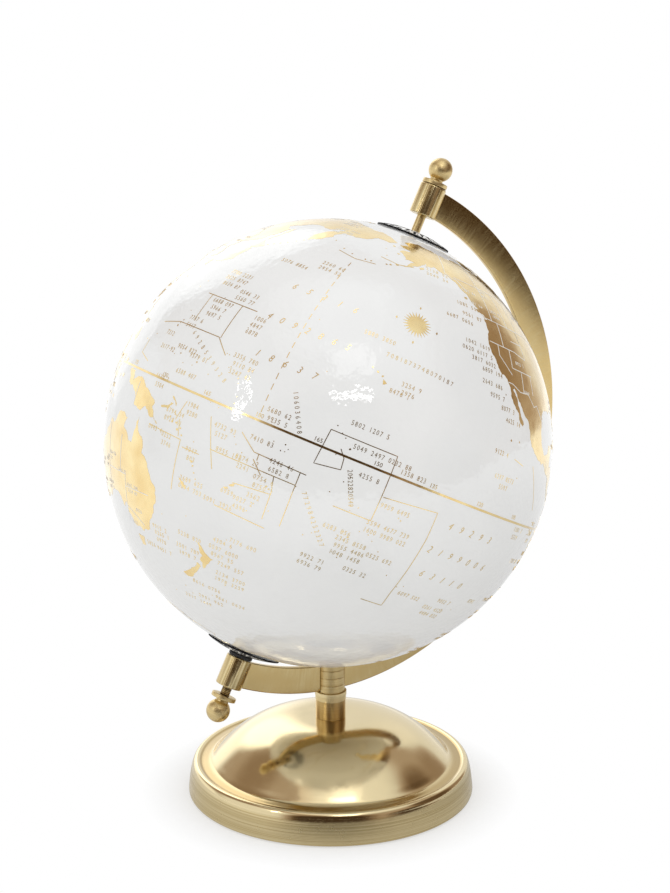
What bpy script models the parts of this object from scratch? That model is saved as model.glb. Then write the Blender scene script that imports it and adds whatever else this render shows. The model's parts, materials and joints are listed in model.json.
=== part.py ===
"""World globe on a brass half-ring stand.

A hollow ball turns on a tilted axle.  Two barrels at the ends of a flat half-ring hold the axle,
the half-ring stands in a slotted ferrule on a short turned collar, and a threaded rod pulls
ferrule, collar and domed base together.  Metres, +Z up.  The origin is the centre of the felt
underside.  The half-ring lies in the XZ plane and bows towards +X.
"""
from math import acos, asin, cos, pi, radians, sin, sqrt

import bmesh
import bpy
from mathutils import Euler, Vector

# Driving dimensions
GLOBE_RADIUS = 0.1000
SHELL_WALL = 0.0020
TILT = radians(26.0)
RING_CENTRE_HEIGHT = 0.1690
GLOBE_DROP = 0.0030
RING_INNER_RADIUS = 0.1077
RING_WIDTH = 0.0125
RING_THICKNESS = 0.0030
RING_EDGE = 0.0004
RING_SEAT = 0.0004
BASE_RADIUS = 0.0662
DOME_TOP = 0.0353
DOME_WALL = 0.0020
FELT_RADIUS = 0.0630
FELT_THICKNESS = 0.0020
PLATE_THICKNESS = 0.0020
STEM_RADIUS = 0.00685
COLLAR_LIP = 0.00045
COLLAR_LIP_HEIGHT = 0.0020
COLLAR_STEP_HEIGHT = 0.0041
STEM_ROD_RADIUS = 0.0030
STEM_ROD_TAIL = 0.0030
SPIGOT_RADIUS = 0.0046
SPIGOT_LENGTH = 0.0072
FERRULE_RADIUS = 0.0065
FERRULE_LENGTH = 0.0143
FERRULE_BANDS = 4
AXLE_RADIUS = 0.0020
BARREL_RADIUS = 0.0060
BARREL_LENGTH = 0.0140
FINIAL_BALL_RADIUS = 0.00535
FINIAL_BALL_HEIGHT = 0.0076
FINIAL_FLANGE_RADIUS = 0.0057
FINIAL_FLANGE_HEIGHT = 0.0019
FINIAL_NECK_RADIUS = 0.0030
FINIAL_HOLE_DEPTH = 0.0046
LOWER_FINIAL_BACK_OFF = 0.0042
DIAL_RADIUS = 0.0170
DIAL_THICKNESS = 0.0006
DIAL_DISH_RADIUS = 0.0550
DIAL_LIFT = 0.00035
SPACER_RADIUS = 0.0055
SPACER_THICKNESS = 0.0012
POLE_HOLE_RADIUS = 0.0050
BUSH_FLANGE_RADIUS = 0.0090
BUSH_FLANGE_THICKNESS = 0.0020
NORTH_BUSH_PROUD = 0.00015
SOUTH_BUSH_PROUD = 0.0010
SEAM_RING_WALL = 0.0015
SEAM_RING_HALF_HEIGHT = 0.0080
NUT_FLATS = 0.0100
NUT_THICKNESS = 0.0050
WASHER_RADIUS = 0.0090
WASHER_THICKNESS = 0.0015

# Pieces that touch on the real object stand this far apart
GAP = 0.0003
INSIDE_GAP = 0.0006
AXLE_BORE = AXLE_RADIUS + 0.00035
ROD_BORE = STEM_ROD_RADIUS + GAP
CORNER = 0.0003

# Facets round a turn, and along the half-ring
BALL_FACETS = 48
BASE_FACETS = 44
DIAL_FACETS = 36
SMALL_FACETS = 24
ROD_FACETS = 20
RING_STEPS = 44

# Places worked out from the driving dimensions
RING_OUTER_RADIUS = RING_INNER_RADIUS + RING_WIDTH
RING_MID_RADIUS = RING_INNER_RADIUS + RING_WIDTH / 2
RING_FOOT = RING_CENTRE_HEIGHT - RING_OUTER_RADIUS
COLLAR_BOTTOM = DOME_TOP + GAP
COLLAR_TOP = RING_FOOT - RING_SEAT
DOME_CEILING = DOME_TOP - DOME_WALL
BARREL_END = RING_MID_RADIUS + BARREL_LENGTH / 2
UPPER_FINIAL_SEAT = BARREL_END + GAP
LOWER_FINIAL_SEAT = BARREL_END + LOWER_FINIAL_BACK_OFF
AXLE_IN_FINIAL = FINIAL_HOLE_DEPTH - 0.0005
SHELL_INSIDE = GLOBE_RADIUS - SHELL_WALL
AXIS_TURN = Euler((0, TILT, 0))
AXIS = AXIS_TURN.to_matrix() @ Vector((0, 0, 1))
RING_CENTRE = Vector((0, 0, RING_CENTRE_HEIGHT))
GLOBE_CENTRE = RING_CENTRE - GLOBE_DROP * AXIS
UPSIDE_DOWN = Euler((pi, 0, 0))


def make_collection(name):
    group = bpy.data.collections.new(name)
    bpy.context.scene.collection.children.link(group)
    return group


def make_material(name, colour, metallic, roughness):
    material = bpy.data.materials.new(name)
    material.use_nodes = True
    shader = material.node_tree.nodes["Principled BSDF"]
    shader.inputs["Base Color"].default_value = (*colour, 1.0)
    shader.inputs["Metallic"].default_value = metallic
    shader.inputs["Roughness"].default_value = roughness
    return material


def make_empty(name, place, turn):
    empty = bpy.data.objects.new(name, None)
    empty.empty_display_size = 0.02
    empty.location = place
    empty.rotation_euler = turn
    PARTS.objects.link(empty)
    return empty


def link_part(name, data, material, parent, height=0.0):
    data.materials.append(material)
    piece = bpy.data.objects.new(name, data)
    piece.location = (0, 0, height)
    piece.parent = parent
    PARTS.objects.link(piece)
    return piece


def settle(piece):
    """Turn a piece's modifiers, or its curve, into its own welded mesh, shaded smooth."""
    name = piece.name
    bpy.context.view_layer.update()
    graph = bpy.context.evaluated_depsgraph_get()
    mesh = bpy.data.meshes.new_from_object(piece.evaluated_get(graph))
    work = bmesh.new()
    work.from_mesh(mesh)
    bmesh.ops.remove_doubles(work, verts=work.verts, dist=1e-6)
    work.to_mesh(mesh)
    work.free()
    mesh.name = name
    mesh.shade_smooth()
    mesh.set_sharp_from_angle(angle=radians(32))
    solid = bpy.data.objects.new("settled", mesh)
    solid.parent = piece.parent
    solid.matrix_basis = piece.matrix_basis
    PARTS.objects.link(solid)
    bpy.data.objects.remove(piece, do_unlink=True)
    solid.name = name
    return solid


def turned(name, profile, material, parent, facets, height=0.0):
    """A turned piece.  The profile runs down the outer side.  One that starts off the axis is a
    closed outline that comes back up the bore."""
    edges = [(i, i + 1) for i in range(len(profile) - 1)]
    if profile[0][0] > 0:
        edges.append((len(profile) - 1, 0))
    mesh = bpy.data.meshes.new(name)
    mesh.from_pydata([(r, 0, z) for r, z in profile], edges, [])
    piece = link_part(name, mesh, material, parent, height)
    screw = piece.modifiers.new("turn", "SCREW")
    screw.axis = "Z"
    screw.steps = facets
    screw.render_steps = facets
    screw.use_merge_vertices = True
    screw.merge_threshold = 1e-6
    return settle(piece)


def arc(centre, radius, start, end, steps):
    """Points along a circular arc of the profile, as (radius, height) pairs."""
    angles = [start + (end - start) * i / steps for i in range(steps + 1)]
    return [(centre[0] + radius * cos(a), centre[1] + radius * sin(a)) for a in angles]


def sweep(p0, p1, p2, p3, steps):
    """Points along a cubic curve of the profile, without its first point."""
    points = []
    for i in range(1, steps + 1):
        t = i / steps
        share = ((1 - t) ** 3, 3 * t * (1 - t) ** 2, 3 * t * t * (1 - t), t ** 3)
        points.append(tuple(sum(s * p[k] for s, p in zip(share, (p0, p1, p2, p3))) for k in (0, 1)))
    return points


def sleeve(outer, bore, low, high):
    """Profile of a bored sleeve with broken outer corners."""
    return [
        (outer - CORNER, high), (outer, high - CORNER), (outer, low + CORNER), (outer - CORNER, low),
        (bore, low), (bore, high),
    ]


def disc(radius, low, high):
    return [(0, high), (radius, high), (radius, low), (0, low)]


def prism(sides, radius, depth):
    work = bmesh.new()
    bmesh.ops.create_cone(
        work, cap_ends=True, segments=sides, radius1=radius, radius2=radius, depth=depth)
    return work


def cut(piece, name, work, place):
    """Subtract the shape held in work, centred on place, from a piece."""
    mesh = bpy.data.meshes.new(name)
    work.to_mesh(mesh)
    work.free()
    tool = bpy.data.objects.new(name, mesh)
    tool.location = place
    tool.hide_render = True
    tool.display_type = "WIRE"
    CUTTERS.objects.link(tool)
    boolean = piece.modifiers.new(name, "BOOLEAN")
    boolean.operation = "DIFFERENCE"
    boolean.solver = "EXACT"
    boolean.object = tool
    return settle(piece)


def base_dome():
    """Dome, cove, bead and flared wall turned in one, hollow beneath, with a ledge for the plate."""
    crown = (0.0080, DOME_TOP)
    dome_foot = (0.0540, 0.0168)
    valley = (0.0590, 0.0139)
    bead = (0.0620, 0.0149)
    wall_top = (0.0644, 0.0124)
    profile = [(ROD_BORE, DOME_TOP), crown]
    profile += sweep(crown, (0.0340, DOME_TOP), (0.0439, 0.0265), dome_foot, 9)
    profile += sweep(dome_foot, (0.0562, 0.0147), (0.0575, valley[1]), valley, 3)
    profile += sweep(valley, (0.0602, valley[1]), (0.0606, bead[1]), bead, 2)
    profile += sweep(bead, (0.0634, bead[1]), (0.0641, 0.0139), wall_top, 3)
    profile += [(BASE_RADIUS - 0.0002, 0.0016), (BASE_RADIUS, 0.0010), (BASE_RADIUS - 0.0004, 0.0005)]
    ledge = FELT_THICKNESS + PLATE_THICKNESS + 2 * GAP
    inner_foot = (0.0523, 0.0150)
    inner_crown = (0.0110, DOME_CEILING)
    profile += [(0.0640, 0.0005), (0.0636, ledge), (0.0612, ledge)]
    profile += [(0.0604, 0.0112), (0.0572, 0.0112), inner_foot]
    profile += sweep(inner_foot, (0.0422, 0.0247), (0.0330, DOME_CEILING), inner_crown, 5)
    profile += [(ROD_BORE, DOME_CEILING)]
    turned("base_dome", profile, POLISHED_BRASS, STAND, BASE_FACETS)


def base_closure():
    """Fibreboard plate pushed up to the ledge, and the felt that the globe stands on."""
    plate_low = FELT_THICKNESS + GAP
    plate = disc(FELT_RADIUS, plate_low, plate_low + PLATE_THICKNESS)
    turned("bottom_plate", plate, FIBREBOARD, STAND, BASE_FACETS)
    turned("felt_pad", disc(FELT_RADIUS, 0, FELT_THICKNESS), DARK_FELT, STAND, BASE_FACETS)


def base_fixing():
    """Washer and hexagon nut under the dome, on the rod that rises into the ferrule's spigot."""
    washer_high = DOME_CEILING - GAP
    washer_low = washer_high - WASHER_THICKNESS
    nut_high = washer_low - GAP
    nut_middle = nut_high - NUT_THICKNESS / 2
    rod_low = nut_high - NUT_THICKNESS - STEM_ROD_TAIL
    rod_high = COLLAR_TOP - 2 * GAP
    washer = sleeve(WASHER_RADIUS, ROD_BORE, washer_low, washer_high)
    turned("base_washer", washer, STEEL, STAND, SMALL_FACETS)
    turned("stem_rod", disc(STEM_ROD_RADIUS, rod_low, rod_high), STEEL, STAND, ROD_FACETS)
    mesh = bpy.data.meshes.new("base_nut")
    hexagon = prism(6, NUT_FLATS / sqrt(3), NUT_THICKNESS)
    hexagon.to_mesh(mesh)
    hexagon.free()
    nut = link_part("base_nut", mesh, STEEL, STAND, nut_middle)
    cut(nut, "nut_drill", prism(ROD_FACETS, ROD_BORE, 2 * NUT_THICKNESS), (0, 0, nut_middle))


def stem_collar():
    """Stepped collar that stands on the dome, bored for the rod and countersunk for the spigot."""
    lip = STEM_RADIUS + COLLAR_LIP
    step = STEM_RADIUS + COLLAR_LIP / 2
    lip_low = COLLAR_TOP - COLLAR_LIP_HEIGHT
    step_low = COLLAR_TOP - COLLAR_STEP_HEIGHT
    socket = SPIGOT_RADIUS + GAP
    socket_floor = COLLAR_TOP - SPIGOT_LENGTH - GAP
    profile = [
        (lip - CORNER, COLLAR_TOP), (lip, COLLAR_TOP - CORNER), (lip, lip_low),
        (step, lip_low - CORNER), (step, step_low), (STEM_RADIUS, step_low - CORNER),
        (STEM_RADIUS, COLLAR_BOTTOM + CORNER), (STEM_RADIUS - CORNER, COLLAR_BOTTOM),
        (ROD_BORE, COLLAR_BOTTOM), (ROD_BORE, socket_floor), (socket, socket_floor), (socket, COLLAR_TOP),
    ]
    turned("stem_collar", profile, BROWNED_BRASS, STAND, SMALL_FACETS)


def ring_ferrule():
    """Banded ferrule, slotted from above for the half-ring, with a spigot for the collar."""
    low = COLLAR_TOP + GAP
    high = low + FERRULE_LENGTH
    spigot_low = COLLAR_TOP - SPIGOT_LENGTH
    hole_top = COLLAR_TOP - GAP
    band = FERRULE_LENGTH / FERRULE_BANDS
    profile = [(0, high), (FERRULE_RADIUS - 2 * CORNER, high)]
    for i in range(FERRULE_BANDS):
        crown = high - band * i
        profile.append((FERRULE_RADIUS, crown - 0.2 * band))
        profile.append((FERRULE_RADIUS, crown - 0.8 * band))
        profile.append((FERRULE_RADIUS - CORNER, crown - band))
    profile += [
        (SPIGOT_RADIUS, low), (SPIGOT_RADIUS, spigot_low), (ROD_BORE, spigot_low), (ROD_BORE, hole_top),
        (0, hole_top),
    ]
    ferrule = turned("ring_ferrule", profile, BROWNED_BRASS, STAND, SMALL_FACETS)
    slot_size = (4 * FERRULE_RADIUS, RING_THICKNESS + 2 * GAP, 2 * FERRULE_LENGTH)
    slot_floor = RING_FOOT - GAP
    slot = bmesh.new()
    bmesh.ops.create_cube(slot, size=1.0)
    bmesh.ops.scale(slot, vec=slot_size, verts=slot.verts)
    cut(ferrule, "ferrule_slot", slot, (0, 0, slot_floor + slot_size[2] / 2))


def half_ring():
    """Flat half-ring whose ends stand square against the barrels."""
    end = BARREL_RADIUS + GAP
    outline = []
    for radius, way in ((RING_OUTER_RADIUS, 1), (RING_INNER_RADIUS, -1)):
        reach = acos(end / radius)
        for i in range(RING_STEPS + 1):
            angle = way * reach * (1 - 2 * i / RING_STEPS)
            outline.append((radius * cos(angle), radius * sin(angle)))
    curve = bpy.data.curves.new("half_ring", "CURVE")
    curve.dimensions = "2D"
    curve.fill_mode = "BOTH"
    curve.extrude = RING_THICKNESS / 2
    spline = curve.splines.new("POLY")
    spline.points.add(len(outline) - 1)
    for point, (x, y) in zip(spline.points, outline):
        point.co = (x, y, 0, 1)
    spline.use_cyclic_u = True
    ring = link_part("half_ring", curve, SATIN_BRASS, RING_FRAME)
    ring.rotation_euler = (pi / 2, 0, 0)
    weld = ring.modifiers.new("weld", "WELD")
    weld.merge_threshold = 1e-6
    soften = ring.modifiers.new("soften", "BEVEL")
    soften.width = RING_EDGE
    soften.segments = 1
    soften.limit_method = "ANGLE"
    soften.angle_limit = radians(50)
    settle(ring)


def barrels():
    half = BARREL_LENGTH / 2
    profile = sleeve(BARREL_RADIUS, AXLE_BORE, -half, half)
    for name, centre in (("upper_barrel", RING_MID_RADIUS), ("lower_barrel", -RING_MID_RADIUS)):
        turned(name, profile, POLISHED_BRASS, RING_FRAME, SMALL_FACETS, centre)


def axle_rod():
    high = UPPER_FINIAL_SEAT + AXLE_IN_FINIAL
    low = -LOWER_FINIAL_SEAT - AXLE_IN_FINIAL
    profile = [
        (0, high), (AXLE_RADIUS - CORNER, high), (AXLE_RADIUS, high - CORNER),
        (AXLE_RADIUS, low + CORNER), (AXLE_RADIUS - CORNER, low), (0, low),
    ]
    turned("axle_rod", profile, SATIN_BRASS, RING_FRAME, ROD_FACETS)


def finials():
    """Ball on a short neck and a flange, with a blind hole that screws onto the axle's end."""
    neck_angle = -acos(FINIAL_NECK_RADIUS / FINIAL_BALL_RADIUS)
    ball = arc((0, FINIAL_BALL_HEIGHT), FINIAL_BALL_RADIUS, pi / 2, neck_angle, 9)
    flange = FINIAL_FLANGE_RADIUS
    profile = [(0, ball[0][1])] + ball[1:]
    profile += [
        (FINIAL_NECK_RADIUS, FINIAL_FLANGE_HEIGHT), (flange - CORNER, FINIAL_FLANGE_HEIGHT),
        (flange, FINIAL_FLANGE_HEIGHT - CORNER), (flange, CORNER), (flange - CORNER, 0),
        (AXLE_BORE, 0), (AXLE_BORE, FINIAL_HOLE_DEPTH), (0, FINIAL_HOLE_DEPTH),
    ]
    turned("upper_finial", profile, BROWNED_BRASS, RING_FRAME, SMALL_FACETS, UPPER_FINIAL_SEAT)
    lower_seat = -LOWER_FINIAL_SEAT
    lower = turned("lower_finial", profile, BROWNED_BRASS, RING_FRAME, SMALL_FACETS, lower_seat)
    lower.rotation_euler = UPSIDE_DOWN


def hemispheres():
    """Two moulded bowls that meet at the equator, each with a hole for its pole bush."""
    seam = GAP / 2
    pole, rim = acos(POLE_HOLE_RADIUS / GLOBE_RADIUS), asin(seam / GLOBE_RADIUS)
    inner_pole, inner_rim = acos(POLE_HOLE_RADIUS / SHELL_INSIDE), asin(seam / SHELL_INSIDE)
    profile = arc((0, 0), GLOBE_RADIUS, pole, rim, 11)
    profile += arc((0, 0), SHELL_INSIDE, inner_rim, inner_pole, 9)
    turned("north_hemisphere", profile, GLOSS_WHITE, GLOBE_FRAME, BALL_FACETS)
    south = turned("south_hemisphere", profile, GLOSS_WHITE, GLOBE_FRAME, BALL_FACETS)
    south.rotation_euler = UPSIDE_DOWN


def seam_ring():
    """Band glued inside the ball across the seam."""
    reach = SEAM_RING_HALF_HEIGHT
    outer = sqrt(SHELL_INSIDE ** 2 - reach ** 2) - INSIDE_GAP
    profile = sleeve(outer, outer - SEAM_RING_WALL, -reach, reach)
    turned("seam_ring", profile, GREY_BOARD, GLOBE_FRAME, BALL_FACETS)


def pole_bushes():
    """Flanged bush in each pole; the lower one stands proud and carries the ball's weight."""
    flange_high = sqrt(SHELL_INSIDE ** 2 - BUSH_FLANGE_RADIUS ** 2) - INSIDE_GAP
    flange_low = flange_high - BUSH_FLANGE_THICKNESS
    nose = POLE_HOLE_RADIUS - GAP
    ends = (("north_bush", NORTH_BUSH_PROUD, Euler()), ("south_bush", SOUTH_BUSH_PROUD, UPSIDE_DOWN))
    for name, proud, turn in ends:
        face = GLOBE_RADIUS + proud
        profile = [
            (nose, face), (nose, flange_high), (BUSH_FLANGE_RADIUS, flange_high),
            (BUSH_FLANGE_RADIUS, flange_low), (AXLE_BORE, flange_low), (AXLE_BORE, face),
        ]
        bush = turned(name, profile, BLACK_PLASTIC, GLOBE_FRAME, SMALL_FACETS)
        bush.rotation_euler = turn


def hour_dials():
    """Thin discs, dished deeper than the ball so that their rims lie on it, loose on the axle at each pole."""
    under = DIAL_DISH_RADIUS
    over = under + DIAL_THICKNESS
    rim_height = sqrt(GLOBE_RADIUS ** 2 - DIAL_RADIUS ** 2) + DIAL_LIFT
    centre = (0, rim_height - sqrt(under ** 2 - DIAL_RADIUS ** 2))
    profile = arc(centre, over, acos(AXLE_BORE / over), acos(DIAL_RADIUS / over), 3)
    profile += arc(centre, under, acos(DIAL_RADIUS / under), acos(AXLE_BORE / under), 3)
    turned("north_hour_dial", profile, DIAL_WHITE, GLOBE_FRAME, DIAL_FACETS)
    south = turned("south_hour_dial", profile, DIAL_WHITE, GLOBE_FRAME, DIAL_FACETS)
    south.rotation_euler = UPSIDE_DOWN


def lower_spacer():
    """Black washer between the lower dial and the lower barrel."""
    low = -RING_MID_RADIUS + BARREL_LENGTH / 2 + GAP
    profile = sleeve(SPACER_RADIUS, AXLE_BORE, low, low + SPACER_THICKNESS)
    turned("lower_spacer", profile, BLACK_RUBBER, RING_FRAME, SMALL_FACETS)


for old in list(bpy.data.objects):
    bpy.data.objects.remove(old, do_unlink=True)

PARTS = make_collection("world_globe")
CUTTERS = make_collection("cutters")

POLISHED_BRASS = make_material("polished brass", (0.72, 0.56, 0.28), 1.0, 0.12)
SATIN_BRASS = make_material("satin brass", (0.66, 0.50, 0.25), 1.0, 0.32)
BROWNED_BRASS = make_material("browned brass", (0.55, 0.40, 0.19), 1.0, 0.26)
STEEL = make_material("zinc plated steel", (0.60, 0.61, 0.62), 1.0, 0.35)
GLOSS_WHITE = make_material("gloss white plastic", (0.86, 0.86, 0.87), 0.0, 0.10)
DIAL_WHITE = make_material("printed white dial", (0.88, 0.88, 0.86), 0.0, 0.30)
BLACK_PLASTIC = make_material("black plastic", (0.02, 0.02, 0.02), 0.0, 0.40)
BLACK_RUBBER = make_material("black rubber", (0.03, 0.03, 0.03), 0.0, 0.65)
GREY_BOARD = make_material("grey board", (0.45, 0.42, 0.38), 0.0, 0.90)
FIBREBOARD = make_material("fibreboard", (0.30, 0.20, 0.12), 0.0, 0.85)
DARK_FELT = make_material("dark felt", (0.05, 0.05, 0.05), 0.0, 1.0)

STAND = make_empty("stand", (0, 0, 0), (0, 0, 0))
RING_FRAME = make_empty("ring_frame", RING_CENTRE, AXIS_TURN)
GLOBE_FRAME = make_empty("globe_frame", GLOBE_CENTRE, AXIS_TURN)

base_dome()
base_closure()
base_fixing()
stem_collar()
ring_ferrule()
half_ring()
barrels()
axle_rod()
finials()
hemispheres()
seam_ring()
pole_bushes()
hour_dials()
lower_spacer()
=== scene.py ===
"""Looks of a world globe: a gloss white ball printed in gilt foil, on a brass half-ring stand.

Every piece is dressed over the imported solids. Lengths are metres. Places on the map are degrees of
longitude and latitude, drawn in the ball's own frame, whose Z axis runs through the poles.
"""
import json
from math import acos, atan2, ceil, cos, pi, radians, sin, sqrt
from random import Random

import bmesh
import bpy
import numpy
from mathutils import Matrix, Vector
from mathutils.geometry import delaunay_2d_cdt

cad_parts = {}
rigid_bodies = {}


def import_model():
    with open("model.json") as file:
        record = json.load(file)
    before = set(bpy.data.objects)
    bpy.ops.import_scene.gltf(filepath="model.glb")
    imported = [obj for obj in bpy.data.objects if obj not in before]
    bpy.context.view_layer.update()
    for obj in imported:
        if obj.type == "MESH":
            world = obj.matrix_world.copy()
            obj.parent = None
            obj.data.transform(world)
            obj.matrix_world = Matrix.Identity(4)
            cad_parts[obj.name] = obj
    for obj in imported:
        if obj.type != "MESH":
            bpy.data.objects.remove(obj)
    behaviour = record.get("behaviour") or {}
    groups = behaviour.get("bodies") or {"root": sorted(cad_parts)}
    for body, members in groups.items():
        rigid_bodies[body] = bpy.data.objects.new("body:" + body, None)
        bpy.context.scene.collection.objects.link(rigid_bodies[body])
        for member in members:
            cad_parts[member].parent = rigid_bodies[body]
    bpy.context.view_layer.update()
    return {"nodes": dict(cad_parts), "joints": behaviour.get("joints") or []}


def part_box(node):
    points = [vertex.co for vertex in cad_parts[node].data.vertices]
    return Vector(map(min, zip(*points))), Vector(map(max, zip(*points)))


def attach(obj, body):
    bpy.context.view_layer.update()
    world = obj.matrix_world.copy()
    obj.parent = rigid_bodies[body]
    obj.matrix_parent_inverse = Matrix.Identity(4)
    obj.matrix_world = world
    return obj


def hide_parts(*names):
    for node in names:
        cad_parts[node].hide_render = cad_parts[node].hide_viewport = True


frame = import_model()

# Sizes that follow the solids
SPIN = next(joint for joint in frame["joints"] if joint["name"] == "globe_spin")
AXIS = Vector(SPIN["axis"])
TILT = atan2(AXIS.x, AXIS.z)
BALL_CENTRE = Vector(SPIN["pos_m"])
BALL_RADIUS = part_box("north_hemisphere")[1].y
GLOBE_DROP = 0.0030
RING_CENTRE = BALL_CENTRE + GLOBE_DROP * AXIS
SHELL_WALL = 0.0020
SEAM_GAP = 0.00004
POLE_HOLE_RADIUS = 0.0050
RING_INNER_RADIUS = 0.1077
RING_WIDTH = 0.0125
RING_THICKNESS = 0.0030
RING_EDGE = 0.0005
RING_OUTER_RADIUS = RING_INNER_RADIUS + RING_WIDTH
RING_MID_RADIUS = RING_INNER_RADIUS + RING_WIDTH / 2
RING_FOOT = RING_CENTRE.z - RING_OUTER_RADIUS
GAP = 0.0003
COLLAR_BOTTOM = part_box("stem_collar")[0].z - GAP
COLLAR_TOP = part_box("stem_collar")[1].z
COLLAR_LIP_HEIGHT = 0.0020
COLLAR_STEP_HEIGHT = 0.0041
STEM_RADIUS = 0.00685
COLLAR_LIP = 0.00045
COLLAR_EDGE = 0.00022
ROD_BORE = 0.0033
SPIGOT_RADIUS = 0.0046
SPIGOT_LENGTH = 0.0072
FERRULE_RADIUS = 0.0065
FERRULE_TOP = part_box("ring_ferrule")[1].z
FERRULE_BANDS = 4
FERRULE_GROOVE = 0.00014
FERRULE_EDGE = 0.00015
BAND_EDGES = (0.06, 0.94)
AXLE_RADIUS = 0.0020
AXLE_BORE = 0.00235
AXLE_EDGE = 0.0004
AXLE_END_GAP = 0.0005
BARREL_RADIUS = 0.0060
BARREL_LENGTH = 0.0140
BARREL_EDGE = 0.0006
BARREL_END = RING_MID_RADIUS + BARREL_LENGTH / 2
FINIAL_BALL_RADIUS = 0.00535
FINIAL_BALL_HEIGHT = 0.0076
FINIAL_FLANGE_RADIUS = 0.0057
FINIAL_FLANGE_HEIGHT = 0.0019
FINIAL_NECK_RADIUS = 0.0030
FINIAL_HOLE_DEPTH = 0.0046
FINIAL_EDGE = 0.0003
LOWER_THREAD_SHOWN = 0.0042
UPPER_FINIAL_SEAT = BARREL_END + GAP
LOWER_FINIAL_SEAT = BARREL_END + LOWER_THREAD_SHOWN
AXLE_IN_FINIAL = FINIAL_HOLE_DEPTH - AXLE_END_GAP
THREAD_PITCH = 0.0007
THREAD_DEPTH = 0.00028
DIAL_RADIUS = 0.0170
DIAL_THICKNESS = 0.0006
DIAL_DISH_RADIUS = 0.0550
DIAL_LIFT = 0.00035
SPACER_RADIUS = 0.0055
SPACER_THICKNESS = 0.0012
SPACER_EDGE = 0.0004
FELT_RADIUS = 0.0630
FELT_THICKNESS = 0.0020
FELT_EDGE = 0.0006
FELT_RINGS = 12
FELT_CUT = 0.99
FELT_FRAY = 0.0025
FELT_SEED = 5
BASE_RADIUS = 0.0662
DOME_TOP = 0.0353
DOME_CEILING = 0.0333
WALL_TOP = 0.0124
WALL_BLEND = 0.0012

# The base's profile from the crown of its dome: two pulls, the end and the steps of each curve
BASE_CROWN = (0.0125, DOME_TOP)
BASE_CURVES = {
    "dome": ((0.0335, DOME_TOP), (0.0430, 0.0274), (0.0522, 0.0185), 60),
    "cove": ((0.0541, 0.0167), (0.0552, 0.0151), (0.0566, 0.0150), 16),
    "valley": ((0.0578, 0.0149), (0.0590, 0.0146), (0.0600, 0.0146), 6),
    "bead": ((0.0607, 0.0146), (0.0611, 0.0151), (0.0621, 0.0151), 12),
    "shoulder": ((0.0634, 0.0151), (0.0641, 0.0139), (0.0644, WALL_TOP), 14),
    "wall": ((0.0650, 0.0110), (0.0658, 0.0052), (BASE_RADIUS - 0.0001, 0.0014), 20),
}
BASE_UNDERSIDE = (
    (BASE_RADIUS - 0.0002, 0.0009), (BASE_RADIUS - 0.0005, 0.0006), (0.0654, 0.0005), (0.0640, 0.0005),
    (0.0636, 0.0046), (0.0612, 0.0046), (0.0604, 0.0112), (0.0572, 0.0112), (0.0523, 0.0150),
)
BASE_CEILING = ((0.0422, 0.0247), (0.0330, DOME_CEILING), (0.0110, DOME_CEILING), 24)

# Radii at which painted shade starts and ends in the groove at the dome's foot, from its two sides
GROOVE_SHADE_SIDES = ((0.0540, 0.0580), (0.0614, 0.0606))

# Facets round a turn, along the half-ring and along the arcs of a profile
BALL_STEPS = 288
BASE_STEPS = 240
DIAL_STEPS = 144
SMALL_STEPS = 96
RING_STEPS = 200
FINIAL_STEPS = 40
DIAL_ARC_STEPS = 16
DIAL_RIM_STEPS = 4
DIAL_LINE_STEPS = 2
THREAD_STEPS = 40

# Degrees over which an edge stays sharp, the most of a side that an eased corner takes, and what is welded
SHARP_ANGLE = 35
BASE_SHARP_ANGLE = 50
CORNER_SHARE = 0.45
WELD = 1e-7

# How far foil, unprinted lines and ink stand over what they lie on, and foil reaches into the ball
FOIL_HEIGHT = 0.00006
FOIL_ROOT = 0.00012
BORDER_HEIGHT = 0.00010
INK_HEIGHT = 0.00004

# The map's turn on the ball, and how its coasts and its foil are drawn
GREENWICH_TURN = 39.75
COAST_STEP = radians(0.75)
COAST_WANDER = 0.15
LAND_POINTS = 9000
LAND_MARGIN = 0.014
COAST_SEED = 11
FAINT_COAST_SEED = 3
CHART_EDGE = -0.5
OFF_CHART = (9, 9)

BALL_FRAME = Matrix.Translation(BALL_CENTRE) @ Matrix.Rotation(TILT, 4, "Y")
RING_FRAME = Matrix.Translation(RING_CENTRE) @ Matrix.Rotation(TILT, 4, "Y")
UPSIDE_DOWN = Matrix.Rotation(pi, 4, "X")
MM = 1000.0
NOISE_RANGE = (0.3, 0.7)

# Degrees by which this globe's print sets some land east of its true place
PRINTED_EAST = {
    "australia": 2.8, "new guinea": 2.2, "new britain": 4.2, "new ireland": 4.6, "bougainville": 3,
}

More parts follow.
